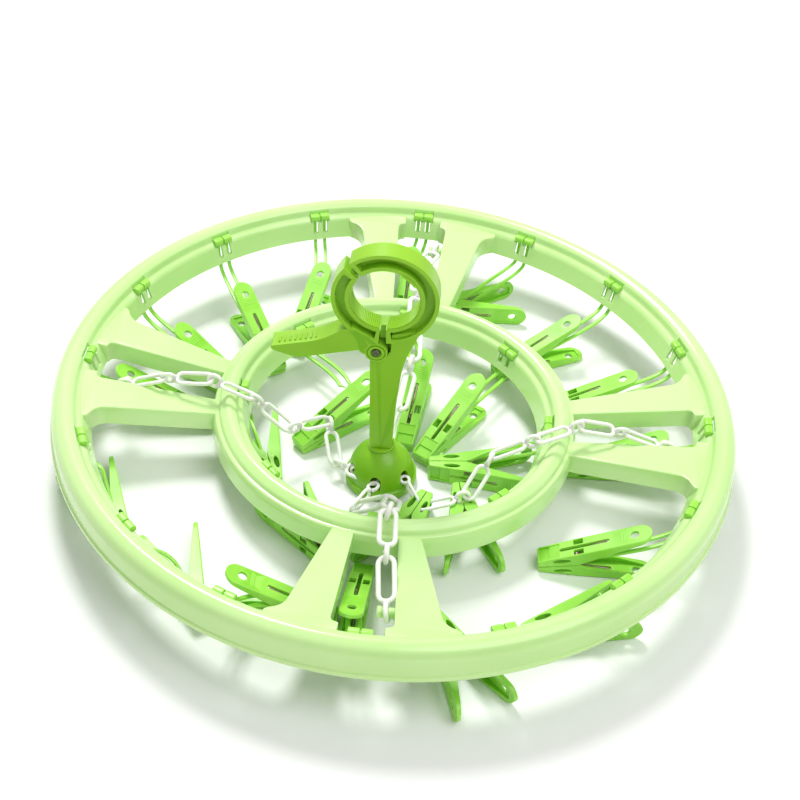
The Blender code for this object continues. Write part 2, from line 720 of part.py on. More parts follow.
def build():
    clear_scene()
    pale = material("pale_green_moulding", PALE_GREEN, 0.3)
    green = material("peg_green_moulding", PEG_GREEN, 0.35)
    olive = material("hook_green_moulding", HOOK_GREEN, 0.3)
    white = material("white_moulding", WHITE, 0.4)
    steel = material("rivet_steel", STEEL, 0.35, 1.0)
    build_frame(pale)
    build_pegs(green)
    holder = bpy.data.objects.new("hub_place", None)
    bpy.context.scene.collection.objects.link(holder)
    holder.location = (HUB_X, HUB_Y, FLANGE_RADIUS * math.sin(HUB_LEAN))
    holder.rotation_euler = (0, -HUB_LEAN, 0)
    build_hub(holder, olive)
    build_hook(holder, olive, steel)
    build_chains(white, holder)


build()
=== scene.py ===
"""Round clip drying hanger, folded down on a table: two rings, strapped pegs, chains and a rod clamp."""

import json
import math

import bmesh
import bpy
from mathutils import Matrix, Vector


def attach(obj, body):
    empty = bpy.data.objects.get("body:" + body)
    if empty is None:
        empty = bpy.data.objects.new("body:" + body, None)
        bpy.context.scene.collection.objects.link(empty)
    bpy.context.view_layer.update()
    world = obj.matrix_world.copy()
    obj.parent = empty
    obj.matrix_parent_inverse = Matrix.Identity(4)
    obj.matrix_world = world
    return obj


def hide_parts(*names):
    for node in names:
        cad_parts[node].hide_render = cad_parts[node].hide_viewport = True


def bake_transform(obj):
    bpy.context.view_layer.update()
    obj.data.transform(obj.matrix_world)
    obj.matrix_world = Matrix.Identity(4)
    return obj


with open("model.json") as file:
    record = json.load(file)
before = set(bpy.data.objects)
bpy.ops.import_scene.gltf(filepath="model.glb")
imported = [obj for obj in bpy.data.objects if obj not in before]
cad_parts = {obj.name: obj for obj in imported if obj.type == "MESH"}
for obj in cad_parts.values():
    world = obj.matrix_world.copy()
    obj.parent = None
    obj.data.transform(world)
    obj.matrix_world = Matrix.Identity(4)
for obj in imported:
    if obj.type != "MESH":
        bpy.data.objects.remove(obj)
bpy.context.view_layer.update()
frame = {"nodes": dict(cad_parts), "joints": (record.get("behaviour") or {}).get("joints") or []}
MM = 0.001

# Frame: two channel rings and eight spokes, one polypropylene moulding in pale green. The spokes
# fall towards the smaller ring and run into the larger one on soft fillets. Each hinge has a
# T-shaped seat: a pocket for the strap's barrel, and two openings that its bands pass through.
RIM_HINGE, RIM_HINGE_HEIGHT = 183, 46
CORE_HINGE, CORE_HINGE_HEIGHT = 91, 32.6
RIM_DEPTH, CORE_DEPTH = 14, 12.9
SEAT_HALF, SEAT_REACH, SEAT_DEPTH = 6.6, 3.1, 9
OUTER_PEGS, INNER_PEGS = 16, 8
BAND_SIDE, BAND_OPENING = 3.2, 1.6


def rounded_outline(corners, steps=4):
    """A closed outline through corners (x, y, cut), each cut back that far and turned into an arc."""
    made = []
    for index, (x, y, cut) in enumerate(corners):
        here = Vector((x, y))
        before = Vector(corners[index - 1][:2]) - here
        after = Vector(corners[(index + 1) % len(corners)][:2]) - here
        reach = min(cut, before.length * 0.49, after.length * 0.49)
        if reach < 0.01:
            made.append((x, y))
            continue
        first, last = here + before.normalized() * reach, here + after.normalized() * reach
        for step in range(steps + 1):
            t = step / steps
            point = first * (1 - t) ** 2 + here * 2 * t * (1 - t) + last * t * t
            made.append((point.x, point.y))
    return made


def circle_outline(centre, radius, count, first=0.0, last=360.0):
    """A circle's points, or an arc's from the first angle to the last (degrees)."""
    gaps = count if abs(last - first) >= 360 else count - 1
    turns = [first + (last - first) * step / gaps for step in range(count)]
    return [
        (centre[0] + radius * math.cos(math.radians(a)), centre[1] + radius * math.sin(math.radians(a)))
        for a in turns
    ]


def add_object(name, data):
    made = bpy.data.objects.new(name, data)
    bpy.context.scene.collection.objects.link(made)
    return made


def piece_from(name, points, faces):
    """A piece through points (mm), with its faces outwards."""
    mesh = bpy.data.meshes.new(name)
    mesh.from_pydata([tuple(Vector(p) * MM) for p in points], [], faces)
    work = bmesh.new()
    work.from_mesh(mesh)
    bmesh.ops.recalc_face_normals(work, faces=work.faces)
    work.to_mesh(mesh)
    work.free()
    return add_object(name, mesh)


def loft(name, rings):
    """A closed solid through rings of equally many points (mm), capped at both ends."""
    count = len(rings[0])
    points = [point for ring in rings for point in ring]
    faces = [tuple(range(count)), tuple(range(len(points) - count, len(points)))]
    for step in range(len(rings) - 1):
        low, high = step * count, (step + 1) * count
        for side in range(count):
            after = (side + 1) % count
            faces.append((low + side, low + after, high + after, high + side))
    return piece_from(name, points, faces)


def turned(name, section, segments):
    """A closed ring: a section of (radius, height) points carried round Z."""
    count = len(section)
    points, faces = [], []
    for step in range(segments):
        angle = math.tau * step / segments
        points += [(r * math.cos(angle), r * math.sin(angle), z) for r, z in section]
        low, high = step * count, (step + 1) % segments * count
        for side in range(count):
            after = (side + 1) % count
            faces.append((low + side, low + after, high + after, high + side))
    return piece_from(name, points, faces)


def slab(name, outline, low, high):
    """An outline of (x, z) points carried along Y from low to high."""
    return loft(name, [[(x, y, z) for x, z in outline] for y in (low, high)])


def combine(piece, others, operation):
    """Joins the others to the piece, or cuts them from it, and removes them."""
    for other in others:
        change = piece.modifiers.new(other.name, "BOOLEAN")
        change.operation, change.solver, change.object = operation, "EXACT", other
    bake(piece)
    for other in others:
        bpy.data.objects.remove(other, do_unlink=True)


def bake(piece):
    """Turns a piece's modifiers into its plain mesh."""
    graph = bpy.context.evaluated_depsgraph_get()
    graph.update()
    mesh = bpy.data.meshes.new_from_object(piece.evaluated_get(graph))
    piece.modifiers.clear()
    piece.data = mesh


def soften(piece, width, segments=2, angle=38):
    """Rounds a moulding's edges by a small width (mm)."""
    edge = piece.modifiers.new("soft_edges", "BEVEL")
    edge.width, edge.segments, edge.limit_method = width * MM, segments, "ANGLE"
    edge.angle_limit = math.radians(angle)
    bake(piece)


def gather(piece, other):
    """Adds the other's closed shell to the piece as it is, and removes it."""
    work = bmesh.new()
    work.from_mesh(piece.data)
    work.from_mesh(other.data)
    work.to_mesh(piece.data)
    work.free()
    bpy.data.objects.remove(other, do_unlink=True)


def dress(piece, made, smooth_angle=40, even=True):
    """Gives a piece its material and its smooth shading, with broad faces kept flat."""
    piece.data.materials.clear()
    piece.data.materials.append(made)
    piece.data.shade_smooth()
    piece.data.set_sharp_from_angle(angle=math.radians(smooth_angle))
    if even:
        even_out = piece.modifiers.new("even_normals", "WEIGHTED_NORMAL")
        even_out.keep_sharp, even_out.weight = True, 80
        bake(piece)


def inward(turn):
    """From the rim at that angle towards the middle."""
    return Vector((-math.sin(turn), -math.cos(turn), 0))


def along(turn):
    """Along the rim at that angle."""
    return Vector((math.cos(turn), -math.sin(turn), 0))


def wire(tree, *links):
    """Links nodes: each link is (node, output, node, input) or (socket, node, input)."""
    for *source, target, socket in links:
        out = source[0] if len(source) == 1 else source[0].outputs[source[1]]
        tree.links.new(out, target.inputs[socket])


def new_material(name):
    """A material with its tree and its Principled shader."""
    made = bpy.data.materials.new(name)
    made.use_nodes = True
    return made, made.node_tree, made.node_tree.nodes["Principled BSDF"]


def moulding_group():
    """Moulded plastic's skin: slow colour flow, edges painted paler as a painted glow of light through thin
    plastic, rare specks, fine grain and faint ripples.
    """
    tree = bpy.data.node_groups.new("moulded_skin", "ShaderNodeTree")
    for name, kind, value in (
        ("Colour", "Color", (0.5, 0.8, 0.3, 1)),
        ("Flow Colour", "Color", (0.4, 0.7, 0.2, 1)),
        ("Edge Colour", "Color", (0.6, 0.9, 0.4, 1)),
        ("Flow Scale", "Float", 14.0),
        ("Edge Amount", "Float", 0.4),
        ("Speck Amount", "Float", 0.5),
        ("Gloss", "Float", 0.25),
        ("Grain", "Float", 0.06),
    ):
        socket = tree.interface.new_socket(name=name, in_out="INPUT", socket_type=f"NodeSocket{kind}")
        socket.default_value = value
    for name, kind in (("Colour", "Color"), ("Roughness", "Float"), ("Normal", "Vector")):
        tree.interface.new_socket(name=name, in_out="OUTPUT", socket_type=f"NodeSocket{kind}")
    new = tree.nodes.new
    given, result = new("NodeGroupInput"), new("NodeGroupOutput")
    place, shape = new("ShaderNodeTexCoord"), new("ShaderNodeNewGeometry")
    flow, grain, ripple = (new("ShaderNodeTexNoise") for _ in range(3))
    specks = new("ShaderNodeTexVoronoi")
    flow.inputs["Detail"].default_value = 3
    flow.inputs["Distortion"].default_value = 0.8
    grain.inputs["Scale"].default_value, grain.inputs["Detail"].default_value = 1400, 2
    ripple.inputs["Scale"].default_value, ripple.inputs["Detail"].default_value = 60, 1
    specks.inputs["Scale"].default_value = 75
    flow_range, edge_glow_range, speck_range = (new("ShaderNodeMapRange") for _ in range(3))
    ranges = ((flow_range, 0.38, 0.66), (edge_glow_range, 0.502, 0.56), (speck_range, 0.035, 0.02))
    for node, low, high in ranges:
        node.inputs["From Min"].default_value, node.inputs["From Max"].default_value = low, high
    edge_glow_part, speck_part = new("ShaderNodeMath"), new("ShaderNodeMath")
    edge_glow_part.operation = speck_part.operation = "MULTIPLY"
    flow_mix, edge_glow_mix, speck_mix = (new("ShaderNodeMix") for _ in range(3))
    flow_mix.data_type = edge_glow_mix.data_type = speck_mix.data_type = "RGBA"
    speck_mix.inputs["B"].default_value = (0.05, 0.09, 0.02, 1)
    rough = new("ShaderNodeMath")
    rough.operation = "MULTIPLY_ADD"
    rough.inputs[1].default_value = 0.12
    fine, wide = new("ShaderNodeBump"), new("ShaderNodeBump")
    fine.inputs["Distance"].default_value, wide.inputs["Distance"].default_value = 0.0002, 0.0006
    wide.inputs["Strength"].default_value = 0.06
    for texture in (flow, grain, ripple, specks):
        wire(tree, (place, "Object", texture, "Vector"))
    wire(
        tree,
        (given, "Flow Scale", flow, "Scale"),
        (flow, "Fac", flow_range, "Value"),
        (flow_range, "Result", flow_mix, "Factor"),
        (given, "Colour", flow_mix, "A"),
        (given, "Flow Colour", flow_mix, "B"),
        # Painted glow: Pointiness paints the convex edges paler, standing in for light coming through thin
        # plastic.
        (shape, "Pointiness", edge_glow_range, "Value"),
        (edge_glow_range, "Result", edge_glow_part, 0),
        (given, "Edge Amount", edge_glow_part, 1),
        (edge_glow_part, 0, edge_glow_mix, "Factor"),
        (flow_mix, "Result", edge_glow_mix, "A"),
        (given, "Edge Colour", edge_glow_mix, "B"),
        (specks, "Distance", speck_range, "Value"),
        (speck_range, "Result", speck_part, 0),
        (given, "Speck Amount", speck_part, 1),
        (speck_part, 0, speck_mix, "Factor"),
        (edge_glow_mix, "Result", speck_mix, "A"),
        (speck_mix, "Result", result, "Colour"),
        (grain, "Fac", rough, 0),
        (given, "Gloss", rough, 2),
        (rough, 0, result, "Roughness"),
        (given, "Grain", fine, "Strength"),
        (grain, "Fac", fine, "Height"),
        (ripple, "Fac", wide, "Height"),
        (fine, "Normal", wide, "Normal"),
        (wide, "Normal", result, "Normal"),
    )
    return tree


MOULDED_SKIN = moulding_group()


def moulded_plastic(name, colour, flow_colour, edge_glow_colour, glow, **values):
    """A glossy moulded plastic that lets a little light in; the values go to the skin group."""
    made, tree, shader = new_material(name)
    skin = tree.nodes.new("ShaderNodeGroup")
    skin.node_tree = MOULDED_SKIN
    # The edge colour is painted light: thin edges are painted paler, as if lit through.
    colours = (("Colour", colour), ("Flow Colour", flow_colour), ("Edge Colour", edge_glow_colour))
    for socket, value in colours:
        skin.inputs[socket].default_value = (*value, 1)
    for socket, value in values.items():
        skin.inputs[socket.replace("_", " ").title()].default_value = value
    shader.inputs["Subsurface Weight"].default_value = glow
    shader.inputs["Subsurface Radius"].default_value = (0.6, 1.0, 0.35)
    shader.inputs["Subsurface Scale"].default_value = 0.004
    shader.inputs["IOR"].default_value = 1.49
    wire(
        tree,
        (skin, "Colour", shader, "Base Color"),
        (skin, "Roughness", shader, "Roughness"),
        (skin, "Normal", shader, "Normal"),
    )
    return made


PALE_GREEN = moulded_plastic(
    "pale_green_plastic",
    (0.60, 0.86, 0.36),
    (0.54, 0.82, 0.30),
    # Edge colour: a painted glow of light through thin edges
    (0.74, 0.93, 0.52),
    0.25,
    flow_scale=7.0,
    edge_amount=0.5,
    speck_amount=0.35,
    gloss=0.1,
    grain=0.03,
)

rim_section = rounded_outline(
    (
        (200, 32, 0.5), (200, 34.4, 0.6), (198.9, 35.2, 0.4), (198.5, 46.2, 1.8),
        (196.2, 50.4, 2.2), (190.8, 52.6, 4.0), (186.2, 50.2, 1.4), (184.9, 46.2, 0.9),
        (182.6, 45.0, 0.9), (181.2, 43.2, 1.0), (177, 32, 0.4), (179, 32, 0.3),
        (182.8, 42.4, 1.0), (187.5, 47.8, 2.0), (191.0, 50.0, 2.0), (194.6, 48.0, 2.0),
        (196.6, 43.0, 1.5), (198, 32, 0.3),
    )
)
core_section = rounded_outline(
    (
        (108, 19.7, 0.4), (107.5, 30.0, 1.2), (106.2, 33.4, 1.0), (104.2, 33.6, 0.5),
        (103.4, 35.6, 1.4), (98.5, 38.9, 3.2), (94.3, 36.6, 1.4), (93.0, 32.8, 0.8),
        (90.6, 31.8, 0.8), (89.6, 30.2, 0.8), (86, 19.7, 0.4), (88, 19.7, 0.3),
        (91.4, 29.4, 1.0), (95.6, 34.4, 1.5), (98.5, 36.2, 1.5), (101.4, 34.2, 1.0),
        (103.2, 31.0, 1.0), (106, 19.7, 0.3),
    )
)
SPOKE_START, SPOKE_RUN, POST_AT = 103, 80.5, 159
SPOKE_WALL, SPOKE_DEEP = 2, 13
NEAR_FILLET, FAR_FILLET = (171.7, 4.5), (163.4, 8)  # where each starts along the spoke, and its radius
SPOKE_STATIONS = (
    SPOKE_START, 107, 108, 109, 111, 120, 135, 150, 161, 163.5, 165.5, 167.5,
    169.2, 170.4, 171.2, 172.6, 174, 175.2, 176.2, 179, 182,
)
POST_SHAPE = ((1.5, 3.6), (0, 3.0), (-6.6, 2.8), (-7.2, 3.1), (-8.4, 3.2), (-9.0, 2.7))


def fillet(at, start, radius):
    """How far a quarter-round of that radius has come out by `at`, from its start."""
    run = min(max(at - start, 0.0), radius)
    return radius - math.sqrt(radius * radius - run * run)


def spoke_sides(at):
    """A spoke's near side, far side and top at that distance from the middle, before its fillets."""
    share = (at - SPOKE_START) / SPOKE_RUN
    return 12 + 4.5 * share, 24.5 + 20 * share, 33.2 + 12.2 * share


def spoke(name, turn, side):
    across, reach = along(turn), inward(turn)
    rings = []
    for at in SPOKE_STATIONS:
        near, far, top = spoke_sides(at)
        near, far = near - fillet(at, *NEAR_FILLET), far + fillet(at, *FAR_FILLET)
        low, under = top - SPOKE_DEEP, top - SPOKE_WALL
        section = rounded_outline(
            (
                (near, low, 0.3), (near, top, 1.3), (far, top, 1.3), (far, low, 0.3),
                (far - SPOKE_WALL, low, 0.2), (far - SPOKE_WALL, under, 0.4),
                (near + SPOKE_WALL, under, 0.4), (near + SPOKE_WALL, low, 0.2),
            ),
            3,
        )
        rings.append([-reach * at + across * (side * s) + Vector((0, 0, z)) for s, z in section])
    return loft(name, rings)


def chain_post(name, turn, side):
    """The round post in a slot, with a mushroom end that keeps the chain's loop on."""
    across, reach = along(turn), inward(turn)
    near, _, top = spoke_sides(POST_AT)
    at = -reach * POST_AT + Vector((0, 0, top - SPOKE_DEEP / 2))
    rings = []
    for out, radius in POST_SHAPE:
        middle = at + across * side * (near + out)
        outline = circle_outline((0, 0), radius, 24)
        rings.append([middle + reach * x + Vector((0, 0, z)) for x, z in outline])
    return loft(name, rings)


def seat_cutters(name, turn, radius, height, depth):
    across, reach = along(turn), inward(turn)
    seat = -radius * reach + Vector((0, 0, height))

    def block(label, sides, ins, heights):
        (left, right), (low, high) = sides, heights
        corners = ((left, low, 0.5), (right, low, 0.5), (right, high, 0.5), (left, high, 0.5))
        outline = rounded_outline(corners, 2)
        return loft(
            label, [[seat + across * s + reach * i + Vector((0, 0, z)) for s, z in outline] for i in ins]
        )

    ins = (-SEAT_REACH, SEAT_DEPTH)
    cuts = [block(f"{name}_pocket", (-SEAT_HALF, SEAT_HALF), ins, (-SEAT_REACH, 8))]
    for side in (-1, 1):
        middle = side * BAND_SIDE
        spread = (middle - BAND_OPENING, middle + BAND_OPENING)
        cuts.append(block(f"{name}_opening{side}", spread, ins, (4 - depth, -1)))
    return cuts


rim = turned("frame_outer_ring", rim_section, 192)
core = turned("frame_inner_ring", core_section, 128)
limbs = []
for degrees, post_side in ((0, 1), (90, 1), (180, -1), (270, -1)):
    turn = math.radians(degrees)
    limbs += [spoke(f"spoke_{degrees}_{side}", turn, side) for side in (-1, 1)]
    limbs.append(chain_post(f"chain_post_{degrees}", turn, post_side))
combine(rim, [core] + limbs, "UNION")
cutters = []
for label, count, *seat in (
    ("rim", OUTER_PEGS, RIM_HINGE, RIM_HINGE_HEIGHT, RIM_DEPTH),
    ("core", INNER_PEGS, CORE_HINGE, CORE_HINGE_HEIGHT, CORE_DEPTH),
):
    for index in range(count):
        cutters += seat_cutters(f"{label}{index}", math.tau * index / count, *seat)
combine(rim, cutters, "DIFFERENCE")
rim.name = rim.data.name = "frame_moulding"
dress(rim, PALE_GREEN, 34)
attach(rim, "frame")
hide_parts("outer_ring", "inner_ring")

# Pegs: two bright green moulded channels each, held together by a bent wire spring. The handle
# ends are round and pierced, the tips have a stepped recess, and a long narrow slot shows the
# spring. One jaw is moulded with its strap: two bands that end in the barrel on the ring.
TIP, HANDLE, HALF_WIDTH = 22.0, 42.0, 6.5
TIP_BACK, SPLAY = 3.8, math.radians(12)
JAW_GAP, HANDLE_END = 0.25, 2.2
CHANNEL_WALL, CHANNEL_SKIN = 1.5, 1.7
SPRING_THICK, COIL_RADIUS, COIL_PITCH, SPRING_END = 1.4, 2.3, 1.1, -17.4

PEG_GREEN = moulded_plastic(
    "bright_green_plastic",
    (0.29, 0.68, 0.050),
    (0.23, 0.61, 0.034),
    # Edge colour: a painted glow of light through thin edges
    (0.45, 0.84, 0.15),
    0.2,
    flow_scale=30.0,
    edge_amount=0.6,
    speck_amount=0.2,
    gloss=0.26,
    grain=0.08,
)


def jaw_back(x):
    return TIP_BACK + (TIP - x) * math.tan(SPLAY)


def jaw_inside(x):
    """The height of the bite face and of the side walls' free edges."""
    end = jaw_back(-HANDLE) - HANDLE_END
    return JAW_GAP + max(0.0, -x) * (end - JAW_GAP) / HANDLE


def jaw_half(x):
    """Half the width in plan: slimmer at the tip, and round at the handle's end."""
    if x > 0:
        return HALF_WIDTH - 0.75 * x / TIP
    into = x + HANDLE - HALF_WIDTH
    return HALF_WIDTH if into > 0 else math.sqrt(max(HALF_WIDTH**2 - into * into, 0.9))


def make_jaw():
    stations = [22, 21.6, 20.8, 16, 12, 8, 4, 0, -5, -12, -20, -28, -34, -36.5, -38.5, -40, -41, -41.6, -42]
    rings = []
    for x in stations:
        shrink = 0.7 if x == 22 else 0.25 if x == 21.6 else 0
        half, low, high = jaw_half(x) - shrink, jaw_inside(x), jaw_back(x) - shrink
        corner = min(0.8, half * 0.4)
        corners = ((-half, low, 0.2), (half, low, 0.2), (half, high, corner), (-half, high, corner))
        rings.append([(x, y, z) for z, y in rounded_outline(corners, 3)])
    jaw = loft("jaw", rings)
    hollow = []
    for x in (13, 8, 0, -12, -24, -34, -38.6):
        half = jaw_half(x) - CHANNEL_WALL - (1.2 if x < -30 else 0)
        low, high = jaw_inside(x) - 1, jaw_back(x) - CHANNEL_SKIN
        hollow.append([(x, low, -half), (x, low, half), (x, high, half), (x, high, -half)])
    cuts = [loft("hollow", hollow)]

    def through(name, outline, low=3, high=30):
        """A cutter with an (x, z) outline that goes through the back."""
        return slab(name, outline, low, high)

    corners = [(9.2, -1.15, 1.1), (9.2, 1.15, 1.1), (-18.5, 1.15, 1.1), (-18.5, -1.15, 1.1)]
    cuts.append(through("slot", rounded_outline(corners)))
    for side in (-1, 1):
        edge = sorted((side * 1.9, side * 5.6))
        corners = [(1.4, edge[0], 0.3), (1.4, edge[1], 0.3), (-4.0, edge[1], 0.3), (-4.0, edge[0], 0.3)]
        cuts.append(through(f"window{side}", rounded_outline(corners, 2), 5))
    cuts.append(through("eye", circle_outline((-32.6, 0), 2.5, 24)))
    for name, near, far, depth in (("recess", 15.2, 20.7, 1.3), ("recess_step", 9.4, 15.4, 0.5)):
        walls = [(far, jaw_back(far) - depth), (far + 0.3, 12), (near, 12), (near, jaw_back(near) - depth)]
        cuts.append(loft(name, [[(x, y, z) for x, y in walls] for z in (-4.9, 4.9)]))
    turns = [math.tau * step / 24 for step in range(24)]
    oval = [(8.4 + 5.0 * math.cos(a), 3.2 + 1.5 * math.sin(a)) for a in turns]
    cuts.append(loft("line_grip", [[(x, y + (TIP - x) * 0.05, z) for x, y in oval] for z in (-9, 9)]))
    for index in range(4):
        at = 20.6 - index * 1.5
        notch = ((at, -1), (at - 0.5, 0.75), (at - 1.0, -1))
        cuts.append(loft(f"bite{index}", [[(x, y, z) for x, y in notch] for z in (-9, 9)]))
    combine(jaw, cuts, "DIFFERENCE")
    ribs = []
    for index in range(3):
        at = -25.4 - index * 1.3
        shape = ((at + 0.35, 0), (at + 0.2, 0.72), (at - 0.2, 0.72), (at - 0.35, 0))
        profile = [(x, jaw_back(x) - 0.5 + lift) for x, lift in shape]
        ribs.append(loft(f"rib{index}", [[(x, y, z) for x, y in profile] for z in (-3.6, 3.6)]))
    combine(jaw, ribs, "UNION")
    soften(jaw, 0.22, 2, 42)
    return jaw


def make_wire(name, points):
    """The spring's round wire along points (mm), as a plain mesh."""
    line = bpy.data.curves.new(name, "CURVE")
    line.dimensions, line.bevel_depth, line.bevel_resolution = "3D", SPRING_THICK / 2 * MM, 3
    line.use_fill_caps = True
    spline = line.splines.new("NURBS")
    spline.points.add(len(points) - 1)
    for target, at in zip(spline.points, points):
        target.co = (*(Vector(at) * MM), 1)
    spline.use_endpoint_u, spline.order_u, spline.resolution_u = True, 3, 3
    holder = add_object(name, line)
    graph = bpy.context.evaluated_depsgraph_get()
    mesh = bpy.data.meshes.new_from_object(holder.evaluated_get(graph))
    bpy.data.objects.remove(holder)
    return mesh


def mirrored(mesh):
    """The same piece turned over to the other side of the bite, with its faces still outwards."""
    other = mesh.copy()
    other.transform(Matrix.Scale(-1, 4, (0, 1, 0)))
    other.flip_normals()
    return other


def spring_metal():
    """Drawn spring wire: bronze-tinted steel with fine lengthwise scratches."""
    made, tree, shader = new_material("spring_wire")
    new = tree.nodes.new
    place, mapped, noise = new("ShaderNodeTexCoord"), new("ShaderNodeMapping"), new("ShaderNodeTexNoise")
    tint, bump = new("ShaderNodeValToRGB"), new("ShaderNodeBump")
    mapped.inputs["Scale"].default_value = (300, 900, 900)
    noise.inputs["Scale"].default_value = 1.0
    bump.inputs["Strength"].default_value, bump.inputs["Distance"].default_value = 0.15, 0.0001
    for stop, colour in zip(tint.color_ramp.elements, ((0.20, 0.13, 0.08, 1), (0.62, 0.52, 0.42, 1))):
        stop.color = colour
    shader.inputs["Metallic"].default_value, shader.inputs["Roughness"].default_value = 1.0, 0.32
    wire(
        tree,
        (place, "Object", mapped, "Vector"), (mapped, "Vector", noise, "Vector"),
        (noise, "Fac", tint, "Fac"), (tint, "Color", shader, "Base Color"),
        (noise, "Fac", bump, "Height"), (bump, "Normal", shader, "Normal"),
    )
    return made


SPRING_WIRE = spring_metal()
jaw_object = make_jaw()
sprung_jaw = mirrored(jaw_object.data)
dress(jaw_object, PEG_GREEN)
fixed_jaw = jaw_object.data
jaw_object.data = sprung_jaw
dress(jaw_object, PEG_GREEN)
sprung_jaw = jaw_object.data
bpy.data.objects.remove(jaw_object)
coil = []
for step in range(43):
    angle = math.tau * step / 14
    height = -1.6 + COIL_PITCH * angle / math.tau
    coil.append((COIL_RADIUS * math.cos(angle), COIL_RADIUS * math.sin(angle), height))
spring_seat = jaw_back(SPRING_END) - 0.9
fixed_end = [(-1, 3.2, 1.5), (-6, 7.0, 0.6), (-10, 9.2, 0), (SPRING_END, spring_seat, 0)]
moving_end = [(0.5, -2.6, -1.6), (-2, -4.4, -1.2), (-6, -7.0, -0.6), (-10, -9.2, 0), (SPRING_END, -spring_seat, 0)]
fixed_spring = make_wire("fixed_spring", coil + fixed_end)
sprung_spring = make_wire("sprung_spring", moving_end)

peg_joints = {joint["child"]: joint for joint in frame["joints"]}


def placed(name, mesh, place, body, made):
    """A copy of a finished mesh, moved to its place, that rides on a body."""
    copy = mesh.copy()
    copy.transform(place)
    piece = add_object(name, copy)
    if not copy.materials:
        dress(piece, made, even=False)
    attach(piece, body)
    return piece


def jaw_place(name):
    """The peg's own frame at its pivot: X to the tip, Y across the bite, Z along the pivot."""
    joint = peg_joints[f"{name}_jaw"]
    pivot, axis = Vector(joint["pos_m"]), -Vector(joint["axis"]).normalized()
    node = frame["nodes"][f"{name}_sprung_jaw"]
    arms = [(v.co - pivot) - axis * (v.co - pivot).dot(axis) for v in node.data.vertices]
    far = max(arms, key=lambda arm: arm.length).normalized()
    handle_end = math.atan2(-jaw_back(-HANDLE), -HANDLE)
    tip = Matrix.Rotation(-handle_end, 3, axis) @ far
    bite = axis.cross(tip)
    return Matrix.Translation(pivot) @ Matrix((tip, bite, axis)).transposed().to_4x4()


def band_path(start, end, arrive, lead, steps=14):
    """A band's middle line from below the ring to the jaw, arriving along the peg (mm)."""
    controls = (start, start - Vector((0, 0, 8)), end - arrive * lead, end)
    points = []
    for step in range(steps + 1):
        t = step / steps
        weights = ((1 - t) ** 3, 3 * t * (1 - t) ** 2, 3 * t * t * (1 - t), t**3)
        points.append(sum((c * w for c, w in zip(controls, weights)), Vector()))
    return points


def make_strap(name, place, turn, depth, band_run):
    """The two bands and the split barrel of one strap, in mm about its hinge."""
    across, towards = along(turn), inward(turn)
    swing = peg_joints[name]
    hinge = Vector(swing["pos_m"]) / MM
    tip, bite, axis = (place.col[i].to_3d() for i in range(3))
    on_side = abs(axis.z) > 0.9
    leave = band_run - 2 - 0.9 - 0.4
    start = towards * leave - Vector((0, 0, depth + 1.5))
    end = place.translation / MM - hinge - tip * 2 + bite * 2
    arrive = (tip - bite * 0.08 - Vector((0, 0, 0.9 if on_side else 0))).normalized()
    lead = min(24 if on_side else 42, 0.75 * (end - start).length)
    points = [Vector((0, 0, -0.5)), towards * 0.12 * leave - Vector((0, 0, 6))]
    points += [towards * 0.3 * leave - Vector((0, 0, depth - 3.6))] + band_path(start, end, arrive, lead)
    last_side = axis if axis.dot(across) >= 0 or on_side else -axis
    band_corners = ((-1.1, -0.9, 0.45), (1.1, -0.9, 0.45), (1.1, 0.9, 0.45), (-1.1, 0.9, 0.45))
    band_section = rounded_outline(band_corners, 2)
    parts = []
    for side in (-1, 1):
        rings = []
        for index, at in enumerate(points):
            run = (points[min(index + 1, len(points) - 1)] - points[max(index - 1, 0)]).normalized()
            share = max(0, index - 3) / (len(points) - 4)
            wide = across.lerp(last_side, share)
            wide = (wide - run * wide.dot(run)).normalized()
            thick = run.cross(wide)
            rings.append([hinge + at + wide * (side * BAND_SIDE + a) + thick * b for a, b in band_section])
        parts.append(loft(f"{name}_band{side}", rings))
        ends = []
        for out, radius in ((0.45, 2.1), (0.6, 2.45), (1.0, 2.6), (5.7, 2.6), (6.15, 2.45), (6.3, 2.1)):
            flat = [(x * radius, min(z * radius, 2.2)) for x, z in circle_outline((0, 0), 1, 22)]
            ends.append([hinge + across * side * out + towards * x + Vector((0, 0, z)) for x, z in flat])
        parts.append(loft(f"{name}_barrel{side}", ends))
    bar = [towards * x + Vector((0, 0, z)) for x, z in circle_outline((0, 0), 1.5, 14)]
    parts.append(loft(f"{name}_bar", [[hinge + across * s + at for at in bar] for s in (-4, 4)]))
    strap = parts.pop(0)
    combine(strap, parts, "UNION")
    return strap


for group, count, depth, band_run in (
    ("outer", OUTER_PEGS, RIM_DEPTH, 6),
    ("inner", INNER_PEGS, CORE_DEPTH, 5),
):
    for index in range(count):
        name = f"{group}_peg_{index + 1:02d}"
        place = jaw_place(name)
        jaw = placed(f"{name}_fixed_jaw", fixed_jaw, place, name, PEG_GREEN)
        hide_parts(f"{name}_strap_jaw")
        moving = f"{name}_jaw"
        other = placed(f"{name}_moving_jaw", sprung_jaw, place, moving, PEG_GREEN)
        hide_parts(f"{name}_sprung_jaw")
        placed(f"{name}_spring_coil", fixed_spring, place, name, SPRING_WIRE)
        placed(f"{name}_spring_arm", sprung_spring, place, moving, SPRING_WIRE)
        strap = make_strap(name, place, math.tau * index / count, depth, band_run)
        strap.name = strap.data.name = f"{name}_strap"
        dress(strap, PEG_GREEN, even=False)
        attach(strap, name)

